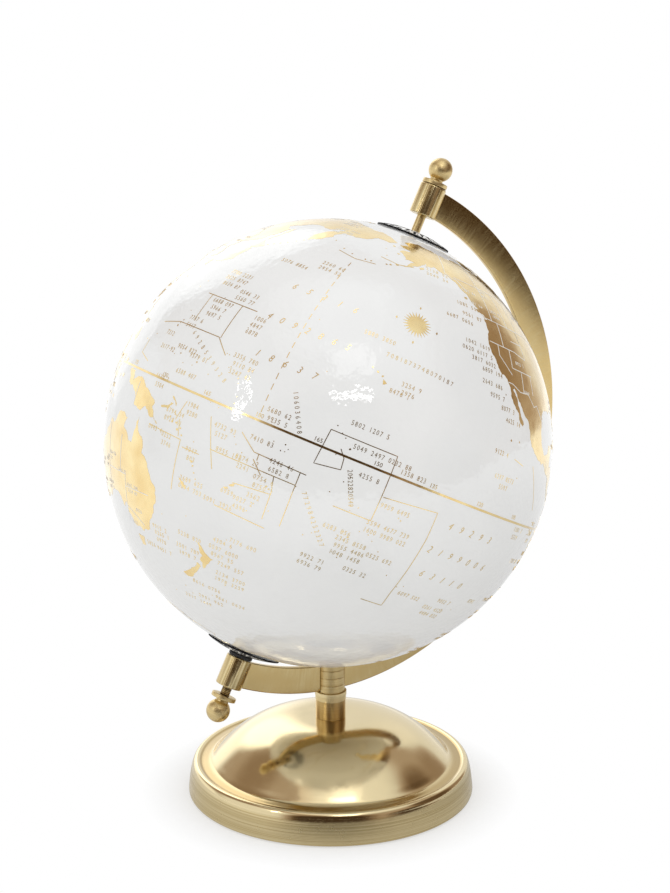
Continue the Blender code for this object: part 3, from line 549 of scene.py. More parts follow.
def lacquered_plastic():
    """Moulded plastic, sprayed white and lacquered: an even white whose slow waves break up highlights."""
    finish, tree, shader = new_finish("lacquered white plastic", Roughness=0.05, IOR=1.5)
    place = add(tree, "ShaderNodeTexCoord").outputs["Object"]
    share = mottle(tree, place, MM / 45, 0, 1)
    slow = mottle(tree, place, MM / 7, 0, 1, 1.0)
    fast = mottle(tree, place, MM / 2.6, 0, 0.7, 1.0)
    waves = add(tree, "ShaderNodeMath", {0: slow, 1: fast}, operation="ADD").outputs[0]
    surface(tree, shader, share, linear("#E5E5E4"), linear("#EAEAE9"), None, waves, 0.00008)
    return finish


def gilt_foil():
    """Gold foil, hot stamped and lacquered over: pale gold, uneven in tone, white where seen edge on."""
    return clouded("hot stamped gold foil", "#F2DDA6", "#E6C98B", 9, 4.0, (3, 0.14, 0.24), (7, 1.0, 0.00006),
                   Metallic=1.0, Coat_Weight=0.5, Coat_Roughness=0.05)


def black_ink():
    """Screen printed black: matt, with a slightly grainy tone."""
    return clouded("screen printed black ink", "#08080A", "#121216", 0.6, Roughness=0.85, IOR=1.45)


def white_enamel():
    """Sheet steel, stoved white enamel: clean, slightly soft gloss."""
    return clouded("stoved white enamel", "#E9E9E7", "#F0F0EF", 6, bumps=(1.5, 2.0, 0.00001),
                   Roughness=0.22, IOR=1.5)


def turning_lines(tree, width):
    """Fine lines round a turned piece, so many millimetres wide, that drift over a hundred millimetres."""
    grain = add(tree, "ShaderNodeAttribute", attribute_name="grain").outputs["Vector"]
    along = {"Vector": grain, "Scale": (MM / 100, MM / 100, MM / width)}
    return mottle(tree, add(tree, "ShaderNodeMapping", along).outputs[0], 1.0, 0, 1, 3.0)


def spun_brass():
    """Spun brass, buffed and lacquered: mirror bright on the dome, browner in the groove at its foot as
    painted shade, and with lathe lines left on the wall, whose dark tone also paints shade over the wall."""
    finish, tree, shader = new_finish("spun and buffed brass", Metallic=1.0)
    place = add(tree, "ShaderNodeTexCoord").outputs["Object"]
    height = add(tree, "ShaderNodeSeparateXYZ", {0: place}).outputs["Z"]
    below = {"Value": height, "From Min": WALL_TOP, "From Max": WALL_TOP - WALL_BLEND}
    wall = add(tree, "ShaderNodeMapRange", below).outputs[0]
    turning = {0: turning_lines(tree, 0.3), 1: wall}
    lines = add(tree, "ShaderNodeMath", turning, operation="MULTIPLY").outputs[0]
    # Lathe lines on the wall only; their dark tone is also painted shade that darkens the wall
    lathe_tones_and_shade = {0: lines, 6: linear("#DECDA3"), 7: linear("#B5A06E")}
    bright = add(tree, "ShaderNodeMix", lathe_tones_and_shade, data_type="RGBA").outputs[2]
    flat = add(tree, "ShaderNodeVectorMath", {0: place, 1: (1, 1, 0)}, operation="MULTIPLY").outputs[0]
    reach = add(tree, "ShaderNodeVectorMath", {0: flat}, operation="LENGTH").outputs["Value"]
    # Painted shade: the groove at the dome's foot turns browner between these radii
    groove = 1.0
    for start, end in GROOVE_SHADE_SIDES:
        limits = {"Value": reach, "From Min": start, "From Max": end}
        side = add(tree, "ShaderNodeMapRange", limits, interpolation_type="SMOOTHSTEP").outputs[0]
        groove = add(tree, "ShaderNodeMath", {0: groove, 1: side}, operation="MULTIPLY").outputs[0]
    haze = mottle(tree, place, MM / 5, 0.11, 0.18, 4.0)
    rough = add(tree, "ShaderNodeMath", {0: wall, 1: 0.10, 2: haze}, operation="MULTIPLY_ADD").outputs[0]
    surface(tree, shader, groove, bright, linear("#B7A070"), rough, lines, 0.000002)
    return finish


def turned_brass():
    """Turned brass, left from the tool and lacquered: satin, with fine lines round it."""
    finish, tree, shader = new_finish("turned satin brass", Metallic=1.0)
    place = add(tree, "ShaderNodeTexCoord").outputs["Object"]
    lines = turning_lines(tree, 0.5)
    rough = mottle(tree, place, MM / 3, 0.34, 0.42)
    surface(tree, shader, lines, linear("#CDB47E"), linear("#DECA98"), rough, lines, 0.000003)
    return finish


def rubbed_brass():
    """Turned brass, its lip paler as a painted highlight: satin, with fine lines round it."""
    finish, tree, shader = new_finish("turned brass with painted highlight on lip", Metallic=1.0)
    place = add(tree, "ShaderNodeTexCoord").outputs["Object"]
    lines = turning_lines(tree, 0.5)
    height = add(tree, "ShaderNodeSeparateXYZ", {0: place}).outputs["Z"]
    foot = COLLAR_TOP - COLLAR_STEP_HEIGHT
    # The lip above the step takes paler tones, a painted highlight
    above = {"Value": height, "From Min": foot - GAP, "From Max": foot + GAP}
    lip = add(tree, "ShaderNodeMapRange", above).outputs[0]
    browns = {0: lines, 6: linear("#C9AD78"), 7: linear("#DBC491")}
    brown = add(tree, "ShaderNodeMix", browns, data_type="RGBA").outputs[2]
    lip_highlight_tones = {0: lines, 6: linear("#EEDBA8"), 7: linear("#F4E5BB")}
    pale = add(tree, "ShaderNodeMix", lip_highlight_tones, data_type="RGBA").outputs[2]
    worn = mottle(tree, place, MM / 3, 0.29, 0.35)
    rough = add(tree, "ShaderNodeMath", {0: lip, 1: 0.12, 2: worn}, operation="MULTIPLY_ADD").outputs[0]
    surface(tree, shader, lip, brown, pale, rough, lines, 0.0000015)
    return finish


def browned_brass():
    """Threaded brass, oiled and never buffed: dull brown and uneven in tone."""
    return clouded("oiled threaded brass", "#6F5428", "#8C7040", 0.8, rough=(2, 0.35, 0.45), Metallic=1.0)


def brushed_brass():
    """Brass strip, brushed across with a wheel and lacquered: satin, with short cross strokes."""
    finish, tree, shader = new_finish("cross brushed brass strip", Metallic=1.0)
    grain = add(tree, "ShaderNodeAttribute", attribute_name="grain").outputs["Vector"]
    across = {"Vector": grain, "Scale": (MM / 1.2, MM / 14, MM / 14)}
    strokes = add(tree, "ShaderNodeMapping", across).outputs[0]
    wide = {"Vector": grain, "Scale": (MM / 12, MM / 9, MM / 9)}
    patches = mottle(tree, add(tree, "ShaderNodeMapping", wide).outputs[0], 1.0, 0, 1, 3.0)
    streaks = mottle(tree, strokes, 1.0, 0, 1, 4.0)
    worn = add(tree, "ShaderNodeMath", {0: patches, 1: streaks}, operation="MULTIPLY").outputs[0]
    rough = mottle(tree, strokes, 1.0, 0.16, 0.20, 4.0)
    surface(tree, shader, worn, linear("#D0B67E"), linear("#DCC998"), rough, streaks, 0.000001)
    return finish


def streaked_brass():
    """Drawn brass tube, buffed and lacquered: bright, with drawing lines along its length."""
    finish, tree, shader = new_finish("drawn polished brass tube", Metallic=1.0)
    grain = add(tree, "ShaderNodeAttribute", attribute_name="grain").outputs["Vector"]
    along = {"Vector": grain, "Scale": (MM / 0.9, MM / 0.9, MM / 200)}
    streaks = mottle(tree, add(tree, "ShaderNodeMapping", along).outputs[0], 1.0, 0, 1, 1.0)
    place = add(tree, "ShaderNodeTexCoord").outputs["Object"]
    rough = mottle(tree, place, MM / 4, 0.23, 0.31)
    surface(tree, shader, streaks, linear("#A88D57"), linear("#E8D7A8"), rough, streaks, 0.00006)
    return finish


def zinc_steel():
    """Steel fastener, zinc plated: dull grey with spangled tone."""
    return clouded("zinc plated steel", "#A9ABAD", "#C6C8C9", 1.5, rough=(2, 0.28, 0.42), Metallic=1.0)


def moulded_plastic():
    """Acetal bush, moulded black: soft sheen and a fine moulded grain."""
    return clouded("moulded black acetal", "#161617", "#212123", 2, bumps=(0.4, 2.0, 0.00001),
                   Roughness=0.42, IOR=1.48)


def black_rubber():
    """Rubber washer, punched from sheet: dull black with a dusty bloom."""
    return clouded("punched black rubber", "#171717", "#2A2A2B", 1.2, 4.0, bumps=(0.3, 2.0, 0.00002),
                   Roughness=0.7, IOR=1.52)


def pressed_card():
    """Grey board, pressed from pulp: matt, with flecks of fibre."""
    return clouded("pressed grey card", "#86807A", "#A39C93", 1.5, 5.0, bumps=(0.8, 4.0, 0.00005),
                   Roughness=0.9, IOR=1.45)


def hardboard():
    """Hardboard, hot pressed from wood fibre: brown, hard and faintly glossy."""
    return clouded("hot pressed hardboard", "#5C432B", "#7B5C3C", 2.5, 6.0, bumps=(1, 4.0, 0.00004),
                   Roughness=0.6, IOR=1.5)


def wool_felt():
    """Wool felt, pressed: matt and dark, with matted fibres and a faint sheen at the edge."""
    return clouded("pressed wool felt", "#232327", "#3B3B40", 0.9, 6.0, bumps=(0.5, 5.0, 0.0002),
                   Roughness=0.95, IOR=1.45, Sheen_Weight=0.4, Sheen_Roughness=0.5)


def new_piece(name, mesh, finish, body, slot, *replaced):
    """Dress a body with a mesh, and hide the solids it replaces."""
    mesh.name = name
    if finish:
        mesh.materials.clear()
        mesh.materials.append(finish)
    piece = bpy.data.objects.new(name, mesh)
    bpy.context.scene.collection.objects.link(piece)
    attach(piece, body)
    if replaced:
        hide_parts(*replaced)
    return piece


def printed_on_ball(name, mesh, finish=None):
    """Print on the ball turns with it; a mesh from a tree brings its own material."""
    new_piece(name, mesh, finish, "globe", "globe_shell")


def smoothed(mesh, sharp=SHARP_ANGLE):
    """The mesh, shaded smooth but for its sharper edges."""
    mesh.shade_smooth()
    mesh.set_sharp_from_angle(angle=radians(sharp))
    return mesh


def finished_mesh(work, sharp=SHARP_ANGLE):
    """A mesh from a bmesh, faces outwards, smooth but for its edges."""
    bmesh.ops.recalc_face_normals(work, faces=work.faces)
    mesh = bpy.data.meshes.new("mesh")
    work.to_mesh(mesh)
    work.free()
    return smoothed(mesh, sharp)


def joined(meshes):
    """One mesh from several."""
    work = bmesh.new()
    for mesh in meshes:
        work.from_mesh(mesh)
        bpy.data.meshes.remove(mesh)
    return finished_mesh(work)


def evaluated(piece):
    """The plain mesh that an object's modifiers give; the object goes."""
    bpy.context.view_layer.update()
    graph = bpy.context.evaluated_depsgraph_get()
    mesh = bpy.data.meshes.new_from_object(piece.evaluated_get(graph))
    bpy.data.objects.remove(piece, do_unlink=True)
    return mesh


def rounded(points, radius, steps=4):
    """A profile with its corners eased: points marked True in a third place stay sharp."""
    eased = []
    for i, point in enumerate(points):
        here = Vector(point[:2])
        before = Vector(points[i - 1][:2]) - here
        after = Vector(points[(i + 1) % len(points)][:2]) - here
        reach = min(radius, before.length * CORNER_SHARE, after.length * CORNER_SHARE)
        if len(point) > 2 or reach <= 0 or here.x == 0:
            eased.append(tuple(here))
            continue
        start = here + before.normalized() * reach
        end = here + after.normalized() * reach
        for k in range(steps + 1):
            t = k / steps
            eased.append(tuple(start * (1 - t) ** 2 + here * 2 * t * (1 - t) + end * t * t))
    return eased


def arc(centre, radius, start, end, steps):
    """Points of a profile along a circle."""
    angles = [start + (end - start) * i / steps for i in range(steps + 1)]
    return [(centre[0] + radius * cos(a), centre[1] + radius * sin(a)) for a in angles]


def sweep(p0, p1, p2, p3, steps):
    """Points of a profile along a cubic curve, without its first."""
    points = []
    for i in range(1, steps + 1):
        t = i / steps
        share = ((1 - t) ** 3, 3 * t * (1 - t) ** 2, 3 * t * t * (1 - t), t ** 3)
        points.append(tuple(sum(s * p[k] for s, p in zip(share, (p0, p1, p2, p3))) for k in (0, 1)))
    return points


def turned(profile, steps, place, sharp=SHARP_ANGLE):
    """A solid turned about Z from a profile of radius and height, either a loop or from pole to pole."""
    work = bmesh.new()
    grain = work.verts.layers.float_vector.new("grain")
    rings = []
    travel = 0.0
    for i, (radius, height) in enumerate(profile):
        if i:
            travel += (Vector(profile[i]) - Vector(profile[i - 1])).length
        ring = []
        for k in range(steps if radius > 0 else 1):
            turn = 2 * pi * k / steps
            flat = Vector((radius * cos(turn), radius * sin(turn), height))
            vertex = work.verts.new(place @ flat)
            vertex[grain] = (flat.x, flat.y, travel)
            ring.append(vertex)
        rings.append(ring)
    for lower, upper in zip(rings, rings[1:] + rings[:1]):
        for k in range(steps):
            after = (k + 1) % steps
            corners = (lower[k % len(lower)], lower[after % len(lower)],
                       upper[after % len(upper)], upper[k % len(upper)])
            corners = list(dict.fromkeys(corners))
            if len(corners) > 2:
                work.faces.new(corners)
    return finished_mesh(work, sharp)


def sleeve(outer, bore, low, high, edge):
    """Profile of a bored sleeve with eased outer corners."""
    return rounded([(outer, high), (outer, low), (bore, low), (bore, high)], edge)


# The map: places on the ball


def places(text):
    """Longitudes, latitudes and what goes with them, from a list written as text."""
    return [tuple(float(v) for v in pair.split()) for pair in text.split(",")]


def on_ball(longitude, latitude):
    """Unit vector of a place, in the ball's frame."""
    turn = radians(longitude + GREENWICH_TURN)
    height = radians(latitude)
    return Vector((cos(height) * cos(turn), cos(height) * sin(turn), sin(height)))


def ragged(start, end, chance):
    """Bays and capes between two points of a coast."""
    if start.angle(end) < COAST_STEP:
        return []
    middle = (start + end).normalized()
    side = middle.cross(end - start)
    middle = (middle + side * chance.uniform(-COAST_WANDER, COAST_WANDER)).normalized()
    return ragged(start, middle, chance) + [middle] + ragged(middle, end, chance)


def coast(text, chance, east=0.0):
    """Closed ring of unit vectors along a coast, moved so many degrees east."""
    corners = [on_ball(longitude + east, latitude) for longitude, latitude in places(text)]
    ring = []
    for start, end in zip(corners, corners[1:] + corners[:1]):
        ring += [start] + ragged(start, end, chance)
    return ring


def level(longitude, latitude):
    """Unit vectors east and north at a place."""
    up = on_ball(longitude, latitude)
    east = Vector((-up.y, up.x, 0)).normalized()
    return east, up.cross(east)


def shifted(longitude, latitude, right, above):
    """The place that lies so many metres right of and above another."""
    up = on_ball(longitude, latitude)
    east, north = level(longitude, latitude)
    return (up + (east * right + north * above) / BALL_RADIUS).normalized()


def inside(points, rings):
    """Which of the flat points lie within the rings, by counting crossings."""
    within = numpy.zeros(len(points), bool)
    x, y = points[:, 0], points[:, 1]
    for ring in rings:
        for (x0, y0), (x1, y1) in zip(ring, numpy.roll(ring, -1, axis=0)):
            if y0 != y1:
                within ^= ((y0 > y) != (y1 > y)) & (x < (x1 - x0) * (y - y0) / (y1 - y0) + x0)
    return within


class Chart:
    """A flat view of the ball about a place, that keeps angles."""

    def __init__(self, rings):
        self.middle = sum(rings[0], Vector()).normalized()
        self.across = self.middle.orthogonal().normalized()
        self.along = self.middle.cross(self.across)
        self.rings = [numpy.array([self.flat(p) for p in ring]) for ring in rings]

    def flat(self, point):
        """Flat place of a unit vector."""
        scale = 2 / (1 + point.dot(self.middle))
        return scale * point.dot(self.across), scale * point.dot(self.along)

    def ball(self, x, y):
        """Unit vector of a flat place."""
        square = x * x + y * y
        raised = self.middle * (4 - square) + (self.across * x + self.along * y) * 4
        return raised / (4 + square)

    def holds(self, points):
        """Which unit vectors lie on this land."""
        near = numpy.array([p.dot(self.middle) > CHART_EDGE for p in points])
        flat = numpy.array([self.flat(p) if ok else OFF_CHART for p, ok in zip(points, near)])
        return inside(flat, self.rings) & near


def spread_points(count):
    """Unit vectors spread evenly over the ball."""
    golden = pi * (3 - sqrt(5))
    heights = [1 - (2 * i + 1) / count for i in range(count)]
    return [Vector((sqrt(1 - z * z) * cos(i * golden), sqrt(1 - z * z) * sin(i * golden), z))
            for i, z in enumerate(heights)]


def foil_shell(work, chart, inner=()):
    """Add to a bmesh the thin closed foil that covers a chart's land."""
    corners = [Vector(p) for ring in chart.rings for p in ring]
    edges = []
    first = 0
    for ring in chart.rings:
        count = len(ring)
        edges += [(first + i, first + (i + 1) % count) for i in range(count)]
        first += count
    shore = numpy.array(corners)
    for point in inner:
        flat = numpy.array(chart.flat(point))
        if numpy.min(numpy.sum((shore - flat) ** 2, axis=1)) > LAND_MARGIN ** 2:
            corners.append(Vector(flat))
    made = delaunay_2d_cdt(corners, edges, [], 0, WELD)
    spots = made[0]
    middles = numpy.array([sum((spots[i] for i in face), Vector((0, 0))) / 3 for face in made[2]])
    faces = [face for face, kept in zip(made[2], inside(middles, chart.rings)) if kept]
    tops, roots = {}, {}
    for i in sorted({i for face in faces for i in face}):
        way = chart.ball(*spots[i])
        tops[i] = work.verts.new(BALL_FRAME @ (way * (BALL_RADIUS + FOIL_HEIGHT)))
        roots[i] = work.verts.new(BALL_FRAME @ (way * (BALL_RADIUS - FOIL_ROOT)))
    rims = {}
    for face in faces:
        work.faces.new([tops[i] for i in face])
        work.faces.new([roots[i] for i in reversed(face)])
        for i, j in zip(face, face[1:] + face[:1]):
            if rims.pop((j, i), None) is None:
                rims[i, j] = True
    for i, j in rims:
        work.faces.new((tops[j], tops[i], roots[i], roots[j]))


# Geometry Nodes: ribbons along lines, and marks on points


def new_tree(name, **sockets):
    """A geometry tree with named inputs; gives the tree and its input node."""
    tree = bpy.data.node_groups.new(name, "GeometryNodeTree")
    tree.interface.new_socket("Geometry", in_out="INPUT", socket_type="NodeSocketGeometry")
    tree.interface.new_socket("Geometry", in_out="OUTPUT", socket_type="NodeSocketGeometry")
    for key, kind in sockets.items():
        tree.interface.new_socket(key, in_out="INPUT", socket_type=kind)
    return tree, add(tree, "NodeGroupInput").outputs


def close_tree(tree, shape, finish):
    """Realise what a tree has made, set its material and give it out."""
    real = add(tree, "GeometryNodeRealizeInstances", {0: shape})
    painted = add(tree, "GeometryNodeSetMaterial", {"Geometry": real.outputs[0], "Material": finish})
    add(tree, "NodeGroupOutput", {0: painted.outputs[0]})
    return tree


def ribbon_tree():
    """Flat ribbons along lines, their flat side square to the way from Centre."""
    tree, given = new_tree(
        "flat ribbon", Width="NodeSocketFloat", Height="NodeSocketFloat", Centre="NodeSocketVector",
        Finish="NodeSocketMaterial")
    line = add(tree, "GeometryNodeMeshToCurve", {"Mesh": given["Geometry"]})
    spot = add(tree, "GeometryNodeInputPosition")
    away = add(tree, "ShaderNodeVectorMath", {0: spot.outputs[0], 1: given["Centre"]}, operation="SUBTRACT")
    held = add(tree, "GeometryNodeSetCurveNormal",
               {"Curve": line.outputs[0], "Normal": away.outputs[0]}, mode="FREE")
    section = add(tree, "GeometryNodeCurvePrimitiveQuadrilateral",
                  {"Width": given["Height"], "Height": given["Width"]})
    swept = add(tree, "GeometryNodeCurveToMesh",
                {"Curve": held.outputs[0], "Profile Curve": section.outputs[0], "Fill Caps": True})
    return close_tree(tree, swept.outputs[0], given["Finish"])


def own_attributes(tree):
    """Rotation and size that a tree reads from its points' own attributes."""
    own = {}
    for key in ("outward", "upright", "reach"):
        source = add(tree, "GeometryNodeInputNamedAttribute", {"Name": key}, data_type="FLOAT_VECTOR")
        own[key] = source.outputs[0]
    facing = add(tree, "FunctionNodeAxesToRotation", {0: own["outward"], 1: own["upright"]},
                 primary_axis="Z", secondary_axis="Y")
    return {"Rotation": facing.outputs[0], "Scale": own["reach"]}


def mark_tree():
    """Small flat prisms on points, turned and sized by the points' own attributes."""
    tree, given = new_tree("stamped marks", Sides="NodeSocketInt", Finish="NodeSocketMaterial")
    prism = add(tree, "GeometryNodeMeshCylinder", {"Vertices": given["Sides"], "Radius": 0.5, "Depth": 1.0})
    marks = add(tree, "GeometryNodeInstanceOnPoints",
                {"Points": given["Geometry"], "Instance": prism.outputs[0], **own_attributes(tree)})
    return close_tree(tree, marks.outputs[0], given["Finish"])


def figure_tree():
    """Figures on points, picked from a collection, turned and sized by the points' own attributes."""
    tree, given = new_tree("stamped figures", Figures="NodeSocketCollection", Finish="NodeSocketMaterial")
    types = add(tree, "GeometryNodeCollectionInfo",
                {"Collection": given["Figures"], "Separate Children": True, "Reset Children": True})
    digit = add(tree, "GeometryNodeInputNamedAttribute", {"Name": "digit"}, data_type="INT").outputs[0]
    marks = add(tree, "GeometryNodeInstanceOnPoints",
                {"Points": given["Geometry"], "Instance": types.outputs[0], "Pick Instance": True,
                 "Instance Index": digit, **own_attributes(tree)})
    return close_tree(tree, marks.outputs[0], given["Finish"])


def thread_tree():
    """A screw thread: a four-sided ridge, half sunk in its rod, wound up Z."""
    tree, given = new_tree(
        "screw thread", Radius="NodeSocketFloat", Length="NodeSocketFloat", Pitch="NodeSocketFloat",
        Depth="NodeSocketFloat", Finish="NodeSocketMaterial")
    turns = add(tree, "ShaderNodeMath", {0: given["Length"], 1: given["Pitch"]}, operation="DIVIDE")
    helix = add(tree, "GeometryNodeCurveSpiral",
                {"Resolution": THREAD_STEPS, "Rotations": turns.outputs[0], "Start Radius": given["Radius"],
                 "End Radius": given["Radius"], "Height": given["Length"]})
    ridge = add(tree, "GeometryNodeCurvePrimitiveCircle", {"Resolution": 4, "Radius": given["Depth"]})
    swept = add(tree, "GeometryNodeCurveToMesh",
                {"Curve": helix.outputs[0], "Profile Curve": ridge.outputs[0], "Fill Caps": True})
    return close_tree(tree, swept.outputs[0], given["Finish"])


def grow(tree, mesh, **sizes):
    """The plain mesh that a tree makes from a mesh of points or lines."""
    carrier = bpy.data.objects.new("carrier", mesh)
    bpy.context.scene.collection.objects.link(carrier)
    growth = carrier.modifiers.new("growth", "NODES")
    growth.node_group = tree
    for item in tree.interface.items_tree:
        if item.in_out == "INPUT" and item.name in sizes:
            growth[item.identifier] = sizes[item.name]
    made = evaluated(carrier)
    bpy.data.meshes.remove(mesh)
    work = bmesh.new()
    work.from_mesh(made)
    bmesh.ops.recalc_face_normals(work, faces=work.faces)
    work.to_mesh(made)
    work.free()
    return smoothed(made)


def line_mesh(lines, closed=False):
    """A mesh of edges along lines of unit vectors, laid on the ball."""
    spots, edges = [], []
    for line in lines:
        first = len(spots)
        spots += [BALL_FRAME @ (way * BALL_RADIUS) for way in line]
        edges += [(i, i + 1) for i in range(first, len(spots) - 1)]
        if closed:
            edges.append((len(spots) - 1, first))
    mesh = bpy.data.meshes.new("lines")
    mesh.from_pydata(spots, edges, [])
    return mesh


def drawn(text, step=1.0):
    """Unit vectors along a line of places, straight on a map of parallels and meridians."""
    stops = places(text)
    line = [on_ball(*stops[0])]
    for (lon0, lat0), (lon1, lat1) in zip(stops, stops[1:]):
        count = max(1, ceil(max(abs(lon1 - lon0), abs(lat1 - lat0)) / step))
        for i in range(1, count + 1):
            t = i / count
            line.append(on_ball(lon0 + (lon1 - lon0) * t, lat0 + (lat1 - lat0) * t))
    return line


def dashes(line, drawn_steps, gap_steps):
    """A line cut into dashes."""
    stride = drawn_steps + gap_steps
    return [line[i:i + drawn_steps + 1] for i in range(0, len(line) - drawn_steps, stride)]


def mark_mesh(marks):
    """A mesh of points from marks: unit vector, unit vector of the upright, three sizes and a figure."""
    mesh = bpy.data.meshes.new("marks")
    turn = BALL_FRAME.to_3x3()
    mesh.from_pydata([BALL_FRAME @ (m[0] * BALL_RADIUS) for m in marks], [], [])
    columns = {
        "outward": [turn @ m[0] for m in marks],
        "upright": [turn @ m[1] for m in marks],
        "reach": [Vector(m[2:5]) for m in marks],
    }
    for key, values in columns.items():
        layer = mesh.attributes.new(key, "FLOAT_VECTOR", "POINT")
        layer.data.foreach_set("vector", [c for v in values for c in v])
    layer = mesh.attributes.new("digit", "INT", "POINT")
    layer.data.foreach_set("value", [m[5] for m in marks])
    return mesh


def print_row(way, across, upright, count, size, chance):
    """Plain figures in short groups, along a row through a place."""
    marks = []
    for k in range(count):
        if k % GROUP < GROUP - 1:
            shift = across * (k - (count - 1) / 2) * PRINT_PITCH - upright * PRINT_RISE
            spot = (way + shift * size / BALL_RADIUS).normalized()
            marks.append(figure_mark(spot, upright, size, chance))
    return marks


def figure_mark(spot, upright, size, chance):
    """One plain figure at a place, picked by chance."""
    return spot, upright, PRINT_SQUEEZE * size, size, 1.0, chance.randrange(10)


def fine_print(text, size, chance):
    """Rows of figures at listed places."""
    marks = []
    for longitude, latitude, count, rows in places(text):
        east, north = level(longitude, latitude)
        for row in range(int(rows)):
            drop = PRINT_LEADING * size * (row - (rows - 1) / 2)
            figures = max(LEAST_FIGURES, int(count) - chance.randrange(SHORTER_ROWS) * (row > 0))
            marks += print_row(shifted(longitude, latitude, 0, -drop), east, north, figures, size, chance)
    return marks


def slanted_rows(text, size, chance):
    """Single figures set along a line from one place to another."""
    marks = []
    for lon0, lat0, lon1, lat1, count in places(text):
        start, end = on_ball(lon0, lat0), on_ball(lon1, lat1)
        across = (end - start).normalized()
        for k in range(int(count)):
            way = start.lerp(end, k / (count - 1)).normalized()
            marks.append(figure_mark(way, way.cross(across).normalized(), size, chance))
    return marks


def sea_rows(text, size, chance):
    """Wide-set figures along parallels, leaning to the right."""
    marks = []
    for longitude, latitude, step, count in places(text):
        for k in range(int(count)):
            spot = longitude + step * k
            east, north = level(spot, latitude)
            upright = (north + SEA_ROW_LEAN * east).normalized()
            marks.append(figure_mark(on_ball(spot, latitude), upright, size, chance))
    return marks


def island_marks(text):
    """Small islands as rounded spots, each leaning its own way."""
    marks = []
    for longitude, latitude, width in places(text):
        east, north = level(longitude, latitude)
        lean = (north + east * sin(ISLAND_LEAN * longitude)).normalized()
        spot = on_ball(longitude, latitude)
        marks.append((spot, lean, width / MM, ISLAND_SHAPE * width / MM, 2 * FOIL_HEIGHT, 0))
    return marks


def figure_mesh(words, size, boldness=0.0, smoothness=4):
    """Figures as a thin solid, centred, in the XY plane."""
    curve = bpy.data.curves.new("figure", "FONT")
    curve.body = words
    curve.size = size
    curve.align_x = "CENTER"
    curve.extrude = FOIL_HEIGHT
    curve.resolution_u = smoothness
    curve.offset = boldness
    figure = bpy.data.objects.new("figure", curve)
    bpy.context.scene.collection.objects.link(figure)
    mesh = evaluated(figure)
    bpy.data.curves.remove(curve)
    work = bmesh.new()
    work.from_mesh(mesh)
    bmesh.ops.remove_doubles(work, verts=work.verts, dist=WELD)
    work.to_mesh(mesh)
    work.free()
    return mesh


def figure_types():
    """A collection of the ten figures, one unit high in type, for a tree to pick from."""
    types = bpy.data.collections.new("figures")
    bpy.context.scene.collection.children.link(types)
    for digit in range(10):
        mesh = figure_mesh(str(digit), 1.0, PRINT_WEIGHT, PRINT_SMOOTHNESS)
        types.objects.link(bpy.data.objects.new(f"figure_{digit}", mesh))
    return types


def clear_types(types):
    """Take the loose figures out of the scene once they have been printed."""
    for figure in list(types.objects):
        mesh = figure.data
        bpy.data.objects.remove(figure, do_unlink=True)
        bpy.data.meshes.remove(mesh)
    bpy.data.collections.remove(types)


# Pieces of the stand


def brass_base(finish):
    """Dome, cove, bead and flared wall, spun in one, hollow beneath."""
    profile = [(ROD_BORE, DOME_TOP), BASE_CROWN]
    for pull, push, end, steps in BASE_CURVES.values():
        profile += sweep(profile[-1], pull, push, end, steps)
    profile += BASE_UNDERSIDE
    profile += sweep(profile[-1], *BASE_CEILING)
    profile += [(ROD_BORE, DOME_CEILING)]
    mesh = turned(profile, BASE_STEPS, Matrix(), BASE_SHARP_ANGLE)
    new_piece("brass_base", mesh, finish, "stand", "polished_brass", "base_dome")


def felt_disc(finish):
    """Felt glued under the base, its cut edge a little uneven."""
    spots = [FELT_RADIUS * i / FELT_RINGS for i in range(1, FELT_RINGS)]
    last = spots[-1]
    rim = [(last, FELT_THICKNESS, True), (FELT_RADIUS, FELT_THICKNESS), (FELT_RADIUS, 0), (last, 0, True)]
    profile = [(0, FELT_THICKNESS)] + [(radius, FELT_THICKNESS) for radius in spots]
    profile += rounded(rim, FELT_EDGE)[1:]
    profile += [(radius, 0) for radius in reversed(spots[:-1])] + [(0, 0)]
    mesh = turned(profile, DIAL_STEPS, Matrix())
    chance = Random(FELT_SEED)
    for vertex in mesh.vertices:
        if vertex.co.xy.length > FELT_CUT * FELT_RADIUS:
            vertex.co.xy *= 1 - chance.uniform(0, FELT_FRAY)
    felt = new_piece("felt_disc", mesh, finish, "stand", "felt", "felt_pad")


def brass_collar(finish):
    """Stepped collar on the dome."""
    lip = STEM_RADIUS + COLLAR_LIP
    step = STEM_RADIUS + COLLAR_LIP / 2
    lip_low = COLLAR_TOP - COLLAR_LIP_HEIGHT
    step_low = COLLAR_TOP - COLLAR_STEP_HEIGHT
    socket = SPIGOT_RADIUS + GAP
    socket_floor = COLLAR_TOP - SPIGOT_LENGTH - GAP
    profile = rounded([
        (lip, COLLAR_TOP), (lip, lip_low), (step, lip_low), (step, step_low), (STEM_RADIUS, step_low),
        (STEM_RADIUS, COLLAR_BOTTOM), (ROD_BORE, COLLAR_BOTTOM), (ROD_BORE, socket_floor),
        (socket, socket_floor), (socket, COLLAR_TOP)], COLLAR_EDGE)
    mesh = turned(profile, SMALL_STEPS, Matrix())
    new_piece("brass_collar", mesh, finish, "stand", "turned_brass", "stem_collar")


